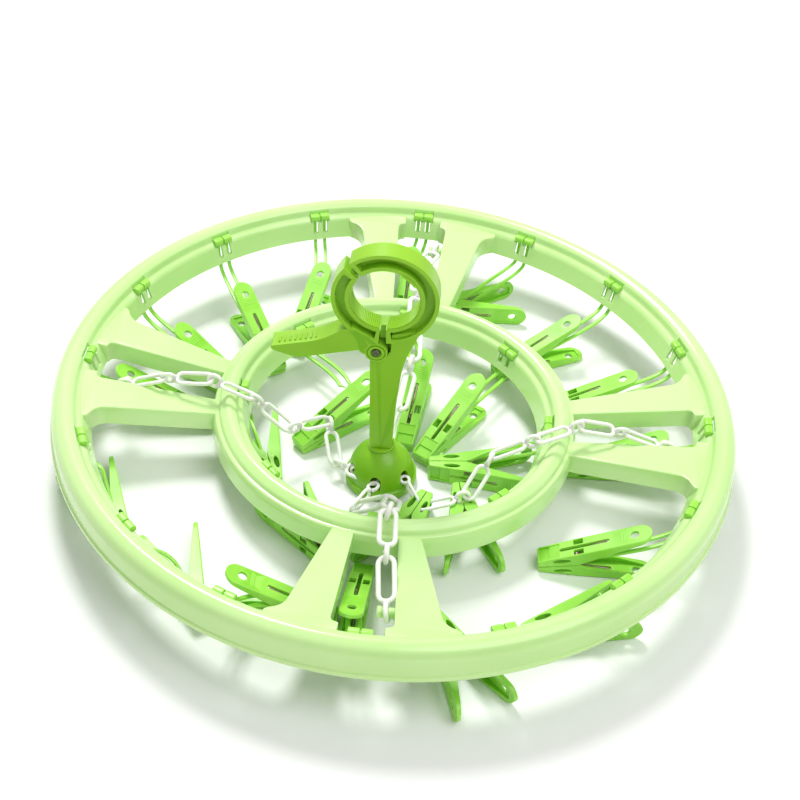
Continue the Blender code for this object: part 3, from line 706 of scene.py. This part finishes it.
# Hub: a bright green dome on a flat flange, lathe-round, with six arched windows that the ends
# of the chains hook into, and a low collar that the clamp's shaft turns in. It leans a little,
# as it has been set down on its edge.
DOME_RADIUS, DOME_HEIGHT, DOME_WALL = 19.5, 27.0, 2.0
FLANGE_RADIUS, FLANGE_HEIGHT, PART_GAP = 21.0, 3.0, 0.3
COLLAR_RADIUS, NECK_RADIUS = 7.5, 4.9
WINDOW_WIDTH, WINDOW_HEIGHT, WINDOW_FOOT = 6.5, 9.0, 5.5
WINDOW_COUNT, FIRST_WINDOW = 6, 25

HOOK_GREEN = moulded_plastic(
    "deep_green_plastic",
    (0.215, 0.50, 0.010),
    (0.165, 0.43, 0.006),
    # Edge colour: a painted glow of light through thin edges
    (0.36, 0.66, 0.04),
    0.12,
    flow_scale=18.0,
    edge_amount=0.55,
    speck_amount=0.2,
    gloss=0.24,
    grain=0.07,
)
swivel = next(joint for joint in frame["joints"] if joint["name"] == "hook_swivel")
swivel_axis = Vector(swivel["axis"])
HUB_PLACE = Matrix.Translation(swivel["pos_m"]) @ Matrix.Rotation(
    math.atan2(swivel_axis.x, swivel_axis.z), 4, "Y")

foot = FLANGE_HEIGHT + PART_GAP
outside = [(FLANGE_RADIUS, foot, 0.3), (FLANGE_RADIUS, foot + 1.5, 0.6), (19.6, foot + 1.9, 0.5)]
for step in range(9):
    turn = math.radians(14 + 54 * step / 8)
    height = (DOME_HEIGHT - foot - 2) * math.sin(turn) / math.sin(math.radians(68))
    outside.append((DOME_RADIUS * math.cos(turn), foot + height, 0.6))
outside += [(COLLAR_RADIUS + 0.4, DOME_HEIGHT - 1.5, 0.4), (COLLAR_RADIUS + 0.2, DOME_HEIGHT, 0.5)]
outside += [(NECK_RADIUS, DOME_HEIGHT, 0.4), (NECK_RADIUS, DOME_HEIGHT - 4, 0.2)]
for step in range(5):
    turn = math.radians(60 - 52 * step / 4)
    height = foot + (DOME_HEIGHT - foot - 5.4) * math.sin(turn)
    outside.append(((DOME_RADIUS - DOME_WALL) * math.cos(turn), height, 0.4))
outside.append((DOME_RADIUS - DOME_WALL, foot, 0.2))
dome = turned("hub_dome_shell", rounded_outline(outside, 3), 96)
openings = []
for index in range(WINDOW_COUNT):
    sill, half = foot + WINDOW_FOOT - FLANGE_HEIGHT, WINDOW_WIDTH / 2
    crown = circle_outline((0, sill + WINDOW_HEIGHT - half), half, 13, 0, 180)
    opening = slab(f"window_{index}", [(-half, sill), (half, sill)] + crown, DOME_RADIUS * 0.45, DOME_RADIUS * 1.3)
    angle = math.radians(FIRST_WINDOW - 90 + 360 * index / WINDOW_COUNT)
    opening.data.transform(Matrix.Rotation(angle, 4, "Z"))
    openings.append(opening)
combine(dome, openings, "DIFFERENCE")
soften(dome, 0.3, 2, 50)
dome.data.transform(HUB_PLACE)
dress(dome, HOOK_GREEN)
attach(dome, "hub")
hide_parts("hub_dome")

spigot = DOME_RADIUS - DOME_WALL - 0.4
base_section = rounded_outline(
    (
        (0.4, 1.0, 0), (9, 1.0, 0.4), (10, 0, 0.4),
        (FLANGE_RADIUS, 0, 0.5), (FLANGE_RADIUS, FLANGE_HEIGHT, 0.6), (spigot, FLANGE_HEIGHT, 0.2),
        (spigot, FLANGE_HEIGHT + 2, 0.3), (spigot - 2, FLANGE_HEIGHT + 2, 0.3),
        (spigot - 2.4, FLANGE_HEIGHT - 0.6, 0.4), (0.4, FLANGE_HEIGHT - 0.6, 0),
    )
)
disc = turned("hub_base_disc", base_section, 96)
plug_outline = circle_outline((0, 0), 1.2, 24)
plug = loft("base_plug", [[(x, y, z) for x, y in plug_outline] for z in (1.0, FLANGE_HEIGHT - 0.6)])
combine(disc, [plug], "UNION")
disc.data.transform(HUB_PLACE)
dress(disc, HOOK_GREEN)
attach(disc, "hub")
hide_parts("hub_base")

# Clamp: the stem and the longer half of the rod ring, moulded in one as open-faced channels with
# a web between two rims, in the same deep green. The shaft snaps into the hub's collar and turns
# there. Fine teeth inside the ring grip a washing line or a rail.
CLAMP_X, CLAMP_Z, CLAMP_RADIUS, CLAMP_BORE, CLAMP_HALF = 1.5, 135.0, 29.0, 19.3, 6.0
PIN_X, PIN_Z, BOSS_RADIUS = -3.0, 99.0, 6.3
STEM_HALF, STEM_THICK = 6.5, 9.0
RIM_THICK, WEB_HALF, TOOTH_COUNT = 2.2, 1.3, 60


def arc_band(inner, outer, first, last, steps):
    """An arched strip's outline in (x, z) about the clamp's centre."""
    centre = (CLAMP_X, CLAMP_Z)
    outside = circle_outline(centre, outer, steps, first, last)
    return outside + circle_outline(centre, inner, steps, last, first)


def ring_half(name, first, last, steps):
    """One half of the rod ring: an outer rim, an inner rim and ends, with a thin web between."""
    half = CLAMP_HALF
    body = slab(name, arc_band(CLAMP_BORE, CLAMP_RADIUS, first, last, steps), -half, half)
    pockets = []
    for side, low, high in (("front", -half - 1, -WEB_HALF), ("rear", WEB_HALF, half + 1)):
        band = arc_band(CLAMP_BORE + RIM_THICK, CLAMP_RADIUS - RIM_THICK, first + 6, last - 5, steps)
        pockets.append(slab(f"{name}_{side}", band, low, high))
    combine(body, pockets, "DIFFERENCE")
    return body


def shape_tree(name, sizes, takes_points=False):
    """A geometry node tree with an input for each named size."""
    tree = bpy.data.node_groups.new(name, "GeometryNodeTree")
    for way in ("INPUT", "OUTPUT") if takes_points else ("OUTPUT",):
        tree.interface.new_socket(name="Geometry", in_out=way, socket_type="NodeSocketGeometry")
    for label, value in sizes.items():
        kind = "NodeSocketInt" if isinstance(value, int) else "NodeSocketFloat"
        socket = tree.interface.new_socket(name=label, in_out="INPUT", socket_type=kind)
        socket.default_value = value
    return tree, tree.nodes.new, tree.nodes.new("NodeGroupInput"), tree.nodes.new("NodeGroupOutput")


def run_tree(piece, tree, sizes):
    """Puts the piece through the tree at those sizes, and keeps the result as its plain mesh."""
    change = piece.modifiers.new(tree.name, "NODES")
    change.node_group = tree
    for item in tree.interface.items_tree:
        if item.in_out == "INPUT" and item.name in sizes:
            change[item.identifier] = sizes[item.name]
    bake(piece)


def teeth(count, first, last):
    """Geometry nodes that set fine ridges round an arc, as a plain mesh (mm)."""
    sizes = {
        "Count": count, "Radius": CLAMP_BORE * MM, "First": math.radians(first), "Last": math.radians(last),
        "Tooth Width": 1.1 * MM, "Tooth Length": 2 * (CLAMP_HALF - 0.4) * MM,
    }
    tree, new, given, result = shape_tree("grip_teeth", sizes)
    arc, cube, size = new("GeometryNodeCurveArc"), new("GeometryNodeMeshCube"), new("ShaderNodeCombineXYZ")
    arc.mode = "RADIUS"
    sweep = new("ShaderNodeMath")
    sweep.operation = "SUBTRACT"
    points, spots = new("GeometryNodeCurveToPoints"), new("GeometryNodeInstanceOnPoints")
    turn_by, turns = new("FunctionNodeRotateRotation"), new("FunctionNodeEulerToRotation")
    turn_by.rotation_space = "LOCAL"
    turns.inputs[0].default_value = (0, math.radians(45), 0)
    real, paint = new("GeometryNodeRealizeInstances"), new("GeometryNodeSetMaterial")
    paint.inputs["Material"].default_value = HOOK_GREEN
    wire(
        tree,
        (given, "Count", arc, "Resolution"), (given, "Radius", arc, "Radius"),
        (given, "First", arc, "Start Angle"), (given, "Last", sweep, 0),
        (given, "First", sweep, 1), (sweep, 0, arc, "Sweep Angle"),
        (arc, "Curve", points, "Curve"), (given, "Count", points, "Count"),
        (points, "Points", spots, "Points"), (points, "Rotation", turn_by, "Rotation"),
        (given, "Tooth Length", size, "Y"), (given, "Tooth Width", size, "X"),
        (given, "Tooth Width", size, "Z"), (size, 0, cube, "Size"),
        (turns, 0, turn_by, "Rotate By"), (turn_by, 0, spots, "Rotation"),
        (cube, "Mesh", spots, "Instance"), (spots, "Instances", real, "Geometry"),
        (real, "Geometry", paint, "Geometry"), (paint, "Geometry", result, "Geometry"),
    )
    holder = add_object("teeth", bpy.data.meshes.new("teeth"))
    run_tree(holder, tree, sizes)
    # The arc lies in X and Y: stand it up in X and Z, round the ring's centre
    centre = Matrix.Translation((CLAMP_X * MM, 0, CLAMP_Z * MM))
    holder.data.transform(centre @ Matrix.Rotation(math.pi / 2, 4, "X"))
    return holder


def pin_disc(name, radius, low, high, count):
    """A round slab about the rivet's middle line."""
    return slab(name, circle_outline((PIN_X, PIN_Z), radius, count), low, high)


arm = ring_half("clamp_arm", -88, 131, 72)
stem_edge = rounded_outline([
    (-STEM_HALF, DOME_HEIGHT + PART_GAP, 0.6),
    (STEM_HALF - 0.3, DOME_HEIGHT + PART_GAP, 0.6),
    (STEM_HALF + 1.4, PIN_Z - 42, 12),
    (STEM_HALF + 5.2, PIN_Z - 8, 10),
    (CLAMP_X + CLAMP_RADIUS * 0.68, CLAMP_Z - CLAMP_RADIUS * 0.69, 3),
    (CLAMP_X + 4, CLAMP_Z - CLAMP_RADIUS + 5, 0),
    (PIN_X + BOSS_RADIUS + 1.5, PIN_Z, 0),
    (PIN_X, PIN_Z - BOSS_RADIUS - 1, 0),
    (-STEM_HALF, PIN_Z - BOSS_RADIUS - 1, 1.0),
], 6)
stem = slab("stem", stem_edge, -STEM_THICK / 2, STEM_THICK / 2)
ear = pin_disc("ear", BOSS_RADIUS, PART_GAP / 2, CLAMP_HALF, 40)
bridge = slab("bridge", [
    (PIN_X - BOSS_RADIUS * 0.8, PIN_Z - BOSS_RADIUS * 0.5),
    (PIN_X, PIN_Z - BOSS_RADIUS - 3),
    (STEM_HALF, PIN_Z - BOSS_RADIUS - 3),
    (CLAMP_X + 8, CLAMP_Z - CLAMP_RADIUS + 3),
    (PIN_X, PIN_Z + 2),
], PART_GAP / 2, STEM_THICK / 2 + 0.5)
turning = [(4.5, 19.5), (6.5, 19.6), (6.5, 21.0), (4.5, 21.5), (4.5, 28.6)]
rings = [[(x, y, z) for x, y in circle_outline((0, 0), r, 32)] for r, z in [(3.9, 19.0)] + turning]
shaft = loft("shaft", rings)
tongue = slab("tongue", arc_band(CLAMP_BORE + 0.4, CLAMP_RADIUS - 0.6, -96, -86, 5), -1.5, CLAMP_HALF)
step_band = slab("inner_step", arc_band(CLAMP_BORE - 1.2, CLAMP_BORE + 0.6, 34, 62, 14), -CLAMP_HALF, CLAMP_HALF)
combine(arm, [stem, ear, bridge, shaft, step_band, tongue], "UNION")
bore = pin_disc("bore", 2.5, -12, 12, 24)
front = pin_disc("front", BOSS_RADIUS + 0.5, -8, PART_GAP / 2, 48)
combine(arm, [bore, front], "DIFFERENCE")
soften(arm, 0.35, 2, 50)
gather(arm, teeth(TOOTH_COUNT, -84, 127))
arm.data.transform(HUB_PLACE)
dress(arm, HOOK_GREEN)
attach(arm, "hook")
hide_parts("hook_arm")

# Lever: the shorter half of the ring with its squeeze grip, moulded in one. It turns on the
# rivet, and the grip's upper edge has small ribs for the thumb.
LEVER_LENGTH = 57.0
# The latch's corners: angle round the ring's centre and distance from it
LATCH_SHAPE = (
    (141, 19.4), (141, 25), (137.2, 25.2), (136.6, 23.6), (138.2, 22.4), (135.4, 20.6), (136.5, 19.3),
)
lever = ring_half("clamp_lever", 139, 263, 44)
front_ear = pin_disc("front_ear", BOSS_RADIUS, -CLAMP_HALF, -PART_GAP / 2, 40)
neck = slab("neck", [
    (PIN_X - 1, PIN_Z - BOSS_RADIUS + 1),
    (PIN_X + 2, PIN_Z + 5),
    (CLAMP_X - 6, CLAMP_Z - CLAMP_RADIUS + 3),
    (CLAMP_X - 18, CLAMP_Z - CLAMP_RADIUS + 10),
    (PIN_X - 9, PIN_Z),
], -CLAMP_HALF, -PART_GAP / 2)
end = PIN_X - LEVER_LENGTH
grip_edge = rounded_outline([
    (PIN_X - 8, PIN_Z + 1.5, 0.5),
    (CLAMP_X - 12, CLAMP_Z - CLAMP_RADIUS + 5, 0.3),
    (CLAMP_X - 21, CLAMP_Z - CLAMP_RADIUS + 8.5, 3),
    (end + 26, PIN_Z + 6.0, 6),
    (end - 1.5, PIN_Z - 0.6, 1.6),
    (end - 0.5, PIN_Z - 3.2, 1.4),
    (end + 13, PIN_Z - 7.4, 3),
], 5)
latch = slab("latch", rounded_outline([
    (CLAMP_X + math.cos(math.radians(a)) * r, CLAMP_Z + math.sin(math.radians(a)) * r, 0.3)
    for a, r in LATCH_SHAPE], 2), -4.4, 4.4)
grip = slab("grip", grip_edge, -CLAMP_HALF, CLAMP_HALF)
combine(lever, [front_ear, neck, grip, latch], "UNION")
recess_edge = rounded_outline([
    (PIN_X - 12, PIN_Z + 1.6, 1),
    (CLAMP_X - 20, CLAMP_Z - CLAMP_RADIUS + 5.6, 3),
    (end + 18, PIN_Z + 0.6, 4),
    (end + 8, PIN_Z - 2.2, 1),
    (end + 14, PIN_Z - 4.8, 2),
], 4)
cuts = [slab("grip_recess_rear", recess_edge, WEB_HALF, 8)]
cuts.append(pin_disc("lever_bore", 2.5, -12, 12, 24))
cuts.append(pin_disc("rear", BOSS_RADIUS + 0.8, -PART_GAP / 2, 8, 48))
cuts.append(pin_disc("boss_groove", 5.3, -8, -CLAMP_HALF + 0.7, 40))
combine(lever, cuts, "DIFFERENCE")
boss = pin_disc("boss_ring", 4.5, -CLAMP_HALF - 0.3, -CLAMP_HALF + 1.0, 40)
combine(lever, [boss], "UNION")
boss_bore = pin_disc("boss_bore", 3.2, -8, -CLAMP_HALF + 0.6, 32)
lever_bore = pin_disc("lever_bore", 2.5, -12, 12, 24)
combine(lever, [boss_bore, lever_bore], "DIFFERENCE")
ribs = []
for index in range(8):
    at = end + 3.5 + index * 2.9
    top = PIN_Z - 0.6 + (at - end + 1.5) * 0.24
    edge = [(at - 0.6, top - 2, 0), (at + 0.6, top - 2, 0)]
    edge += [(at + 0.45, top + 0.9, 0.3), (at - 0.45, top + 0.7, 0.3)]
    ribs.append(slab(f"thumb_rib_{index}", rounded_outline(edge, 2), -3.4, 1.2))
combine(lever, ribs, "UNION")
soften(lever, 0.35, 2, 50)
gather(lever, teeth(34, 145, 259))
lever.data.transform(HUB_PLACE)
dress(lever, HOOK_GREEN)
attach(lever, "lever")
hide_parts("hook_lever")

# Rivet: a plain steel pin with a low domed head, pressed through the boss and peened over behind.
# It darkens with use.


def worn_steel():
    """Darkened steel with a fine cloudy stain."""
    made, tree, shader = new_material("worn_rivet_steel")
    new = tree.nodes.new
    place, noise = new("ShaderNodeTexCoord"), new("ShaderNodeTexNoise")
    tint, rough, bump = new("ShaderNodeValToRGB"), new("ShaderNodeMapRange"), new("ShaderNodeBump")
    noise.inputs["Scale"].default_value, noise.inputs["Detail"].default_value = 900, 4
    for stop, colour in zip(tint.color_ramp.elements, ((0.05, 0.05, 0.04, 1), (0.26, 0.26, 0.22, 1))):
        stop.color = colour
    rough.inputs["To Min"].default_value, rough.inputs["To Max"].default_value = 0.28, 0.5
    bump.inputs["Strength"].default_value, bump.inputs["Distance"].default_value = 0.2, 0.0001
    shader.inputs["Metallic"].default_value = 1.0
    wire(
        tree,
        (place, "Object", noise, "Vector"), (noise, "Fac", tint, "Fac"),
        (tint, "Color", shader, "Base Color"), (noise, "Fac", rough, "Value"),
        (rough, "Result", shader, "Roughness"), (noise, "Fac", bump, "Height"),
        (bump, "Normal", shader, "Normal"),
    )
    return made


pin_rings = []
PIN_SHAPE = (
    (-6.15, 0.5), (-6.15, 1.0), (-6.5, 1.2), (-6.6, 1.7), (-6.5, 2.1), (-6.1, 2.35), (-5.4, 2.35), (-5.3, 2.2),
    (4.6, 2.2), (5.0, 2.45), (5.5, 2.3), (5.7, 1.2),
)
for y, radius in PIN_SHAPE:
    pin_rings.append([(x, y, z) for x, z in circle_outline((PIN_X, PIN_Z), radius, 40)])
rivet = loft("clamp_rivet", pin_rings)
rivet.data.transform(HUB_PLACE)
dress(rivet, worn_steel())
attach(rivet, "hook")
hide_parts("hook_pin")

# Chains: four runs of white moulded snap links, from the posts in the spokes' slots over the
# smaller ring to the hub's windows. Each link has a slim hook, a neck and a long closed loop, and
# the next link's hook snaps into that loop. They lie slack, heaped round the hub.
LINK_WIRE, LOOP_LENGTH, LOOP_WIDTH = 3.1, 27.0, 9.4
HOOK_LENGTH, HOOK_WIDTH, LINK_NECK = 9.6, 8.8, 1.8
LINK_PITCH = HOOK_LENGTH + LINK_NECK + LOOP_LENGTH - LINK_WIRE
END_LINK = 0.72  # the size of the last link, which fits through a window
LOOP_OUT, LOOP_IN = 3.2, 3.6  # where the first link goes round its post: past it, and along it

WHITE = moulded_plastic(
    "white_plastic",
    (0.86, 0.88, 0.80),
    (0.76, 0.79, 0.69),
    # Edge colour: a painted glow of light through thin edges
    (0.95, 0.96, 0.92),
    0.3,
    flow_scale=90.0,
    edge_amount=0.5,
    speck_amount=0.0,
    gloss=0.34,
    grain=0.12,
)


def link_tree():
    """Geometry nodes that set a moulded link on each point, turned and scaled by its attributes."""
    sizes = {
        "Wire": LINK_WIRE * MM, "Loop Length": LOOP_LENGTH * MM, "Loop Width": LOOP_WIDTH * MM,
        "Hook Length": HOOK_LENGTH * MM, "Hook Width": HOOK_WIDTH * MM, "Neck": LINK_NECK * MM,
    }
    tree, new, given, result = shape_tree("snap_links", sizes, takes_points=True)

    def number(operation, first, second):
        node = new("ShaderNodeMath")
        node.operation = operation
        for socket, value in zip(node.inputs, (first, second)):
            if isinstance(value, float):
                socket.default_value = value
            else:
                tree.links.new(value, socket)
        return node.outputs[0]

    def rounded_loop(length, width, middle, upright):
        box, corner = new("GeometryNodeCurvePrimitiveQuadrilateral"), new("GeometryNodeFilletCurve")
        shift = new("GeometryNodeTransform")
        corner.mode = "POLY"
        corner.inputs["Count"].default_value = 5
        offset = new("ShaderNodeCombineXYZ")
        if upright:
            shift.inputs["Rotation"].default_value = (math.pi / 2, 0, 0)
        wire(
            tree,
            (length, box, "Width"), (width, box, "Height"),
            (box, "Curve", corner, "Curve"),
            (number("MULTIPLY", width, 0.46), corner, "Radius"),
            (corner, "Curve", shift, "Geometry"), (middle, offset, "X"),
            (offset, 0, shift, "Translation"),
        )
        return shift.outputs["Geometry"]

    half_wire = number("MULTIPLY", given.outputs["Wire"], 0.5)
    hook_middle = number("SUBTRACT", number("MULTIPLY", given.outputs["Hook Length"], 0.5), half_wire)
    hook_end = number("SUBTRACT", given.outputs["Hook Length"], half_wire)
    loop_start = number("ADD", hook_end, given.outputs["Neck"])
    loop_middle = number("ADD", loop_start, number("MULTIPLY", given.outputs["Loop Length"], 0.5))
    hook = rounded_loop(given.outputs["Hook Length"], given.outputs["Hook Width"], hook_middle, True)
    loop = rounded_loop(given.outputs["Loop Length"], given.outputs["Loop Width"], loop_middle, False)
    trim, neck = new("GeometryNodeTrimCurve"), new("GeometryNodeCurvePrimitiveLine")
    ends, bead = new("GeometryNodeCurveEndpointSelection"), new("GeometryNodeMeshIcoSphere")
    trim.inputs["Start"].default_value, trim.inputs["End"].default_value = 0.03, 0.88
    bead.inputs["Subdivisions"].default_value = 2
    beads, spots = new("GeometryNodeInstanceOnPoints"), new("GeometryNodeInstanceOnPoints")
    start, finish = new("ShaderNodeCombineXYZ"), new("ShaderNodeCombineXYZ")
    lines, link = new("GeometryNodeJoinGeometry"), new("GeometryNodeJoinGeometry")
    skin, round_ = new("GeometryNodeCurveToMesh"), new("GeometryNodeCurvePrimitiveCircle")
    round_.inputs["Resolution"].default_value = 10
    skin.inputs["Fill Caps"].default_value = True
    turn, size = new("GeometryNodeInputNamedAttribute"), new("GeometryNodeInputNamedAttribute")
    turn.data_type, size.data_type = "FLOAT_VECTOR", "FLOAT"
    turn.inputs["Name"].default_value, size.inputs["Name"].default_value = "turn", "size"
    as_rotation = new("FunctionNodeEulerToRotation")
    real, paint = new("GeometryNodeRealizeInstances"), new("GeometryNodeSetMaterial")
    paint.inputs["Material"].default_value = WHITE
    wire(
        tree,
        (hook, trim, "Curve"), (hook_end, start, "X"), (loop_start, finish, "X"),
        (start, 0, neck, "Start"), (finish, 0, neck, "End"), (trim, "Curve", lines, 0),
        (neck, "Curve", lines, 0), (loop, lines, 0), (half_wire, round_, "Radius"),
        (lines, 0, skin, "Curve"), (round_, "Curve", skin, "Profile Curve"),
        (number("MULTIPLY", half_wire, 1.35), bead, "Radius"),
        (trim, "Curve", beads, "Points"), (ends, "Selection", beads, "Selection"),
        (bead, "Mesh", beads, "Instance"), (beads, "Instances", link, 0), (skin, "Mesh", link, 0),
        (given, "Geometry", spots, "Points"), (link, 0, spots, "Instance"),
        (turn, "Attribute", as_rotation, 0), (as_rotation, 0, spots, "Rotation"),
        (size, "Attribute", spots, "Scale"), (spots, "Instances", real, "Geometry"),
        (real, "Geometry", paint, "Geometry"), (paint, "Geometry", result, "Geometry"),
    )
    return tree, sizes


def smooth_run(points, steps=24):
    """Close points on a smooth curve through the given ones."""
    ends = [points[0] * 2 - points[1]] + points + [points[-1] * 2 - points[-2]]
    dense = []
    for a, b, c, d in zip(ends, ends[1:], ends[2:], ends[3:]):
        for step in range(steps):
            t = step / steps
            bend = (2 * a - 5 * b + 4 * c - d) * t**2 + (3 * b - a - 3 * c + d) * t**3
            dense.append(0.5 * (2 * b + (c - a) * t + bend))
    return dense + [points[-1]]


def link_joints(run, sizes):
    """Joints along the run, and the one scale for all links that lands the last on the run's end."""
    best = None
    for step in range(240):
        scale = 0.7 + 0.0025 * step
        joints, at = [run[0]], 0
        for size in sizes:
            while at < len(run) - 1 and (run[at] - joints[-1]).length < LINK_PITCH * size * scale:
                at += 1
            joints.append(run[at])
        miss = (joints[-1] - run[-1]).length
        miss += abs((joints[-1] - joints[-2]).length - LINK_PITCH * sizes[-1] * scale)
        if best is None or miss < best[0]:
            best = (miss, joints, scale)
    best[1][-1] = run[-1]
    return best[1:]


# Each run: its slot's angle, the side that the post stands on, its window, and where it passes (mm)
CHAIN_RUNS = {
    "back": (0, 1, 2, ((5, 134, 44), (4, 112, 46), (3, 92, 46), (5, 56, 44), (6, 30, 42), (3, 8, 32))),
    "right": (90, 1, 6, (
        (119, -9, 46), (102, -18, 47), (88, -26, 45), (66, -25, 38), (54, -38, 24), (44, -55, 12),
        (30, -64, 8), (20, -54, 12), (34, -46, 16), (24, -42, 14),
    )),
    "front": (180, -1, 5, (
        (8, -138, 44), (6, -116, 46), (5, -98, 46), (4, -80, 36), (10, -66, 20), (20, -64, 10),
        (4, -58, 8), (-16, -62, 8),
    )),
    "left": (270, -1, 4, (
        (-134, -11, 45), (-112, -10, 47), (-93, -16, 46), (-72, -19, 38), (-56, -26, 24), (-48, -40, 10),
        (-41, -22, 14), (-38, 0, 24), (-33, 12, 28), (-27, 2, 22), (-30, -18, 12),
    )),
}
links, link_sizes = link_tree()
for label, (degrees, post_side, window, between) in CHAIN_RUNS.items():
    turn = math.radians(degrees)
    near, _, top = spoke_sides(POST_AT)
    waist = -inward(turn) * (POST_AT + LOOP_OUT) + along(turn) * post_side * (near - LOOP_IN)
    waist.z = top - SPOKE_DEEP / 2
    ends = []
    angle = math.radians(FIRST_WINDOW + 360 * (window - 1) / WINDOW_COUNT)
    for reach in (DOME_RADIUS + 9, DOME_RADIUS - DOME_WALL):
        height = foot + WINDOW_FOOT - FLANGE_HEIGHT + WINDOW_HEIGHT / 2
        at = Vector((reach * math.cos(angle), reach * math.sin(angle), height))
        ends.append(HUB_PLACE @ (at * MM) / MM)
    run = smooth_run([waist] + [Vector(p) for p in between] + ends)
    length = sum((b - a).length for a, b in zip(run, run[1:]))
    count = round(length / LINK_PITCH + 0.2)
    scales = [1.0] * (count - 1) + [END_LINK]
    joints, stretch = link_joints(run, scales)
    spots, turns = [], []
    for index in range(count):
        start, finish = joints[index], joints[index + 1]
        last = index == count - 1
        if last:
            start, finish = finish, start
        forward = (finish - start).normalized()
        upright = Vector((0, 0, 1)) - forward * forward.z
        roll = math.radians(17 * math.sin(2.3 * index + degrees)) + (math.pi / 2 if last else 0)
        upright = (Matrix.Rotation(roll, 3, forward) @ upright).normalized()
        turns.append(Matrix((forward, upright.cross(forward), upright)).transposed().to_euler())
        spots.append(start)
    mesh = bpy.data.meshes.new(f"chain_{label}_links")
    mesh.from_pydata([tuple(spot * MM) for spot in spots], [], [])
    mesh.attributes.new("turn", "FLOAT_VECTOR", "POINT")
    mesh.attributes.new("size", "FLOAT", "POINT")
    for index in range(count):
        mesh.attributes["turn"].data[index].vector = tuple(turns[index])
        mesh.attributes["size"].data[index].value = scales[index] * stretch
    chain = add_object(f"chain_{label}_links", mesh)
    run_tree(chain, links, link_sizes)
    dress(chain, WHITE, 60, even=False)
    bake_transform(chain)
    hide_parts(f"chain_{label}")

# Setting: a plain near-white floor, broad soft lights and the camera.


def paper():
    """Matt white paper with the faintest mottling."""
    made, tree, shader = new_material("paper_floor")
    new = tree.nodes.new
    place, noise, tint = new("ShaderNodeTexCoord"), new("ShaderNodeTexNoise"), new("ShaderNodeValToRGB")
    noise.inputs["Scale"].default_value = 3
    for stop, colour in zip(tint.color_ramp.elements, ((0.93, 0.93, 0.93, 1), (0.96, 0.96, 0.96, 1))):
        stop.color = colour
    shader.inputs["Roughness"].default_value = 0.85
    wire(
        tree,
        (place, "Object", noise, "Vector"),
        (noise, "Fac", tint, "Fac"),
        (tint, "Color", shader, "Base Color"),
    )
    return made


FLOOR_REACH, FLOOR_HEIGHT = 3000, -0.4
quarters = ((-1, -1), (1, -1), (1, 1), (-1, 1))
floor_corners = [(x * FLOOR_REACH, y * FLOOR_REACH, FLOOR_HEIGHT) for x, y in quarters]
floor = piece_from("floor", floor_corners, [(0, 1, 2, 3)])
dress(floor, paper())

world = bpy.data.worlds.new("soft_white")
bpy.context.scene.world = world
bpy.context.scene.view_settings.view_transform = "Standard"
world.use_nodes = True
world.node_tree.nodes["Background"].inputs["Color"].default_value = (1.0, 1.0, 1.0, 1)
world.node_tree.nodes["Background"].inputs["Strength"].default_value = 0.5


def soft_light(name, place, aim, size, power):
    lamp = bpy.data.lights.new(name, "AREA")
    lamp.shape, lamp.size, lamp.energy = "DISK", size, power
    holder = add_object(name, lamp)
    holder.location = place
    holder.rotation_euler = (Vector(aim) - Vector(place)).to_track_quat("-Z", "Y").to_euler()


soft_light("key", (-0.35, 0.75, 1.35), (0, 0, 0.03), 0.45, 19)
soft_light("fill", (0.7, -0.5, 1.4), (0, 0, 0.03), 1.2, 10)

camera = bpy.data.cameras.new("camera")
viewer = add_object("camera", camera)
camera.lens, camera.shift_x, camera.shift_y, camera.clip_start = 63.06, 0.0033, -0.0122, 0.01
viewer.location = (0.0243, -0.6211, 0.5863)
look = (Vector((0, 0, 0.0462)) - viewer.location).to_track_quat("-Z", "Y").to_matrix().to_4x4()
viewer.rotation_euler = (look @ Matrix.Rotation(math.radians(5.26), 4, "Z")).to_euler()
bpy.context.scene.camera = viewer
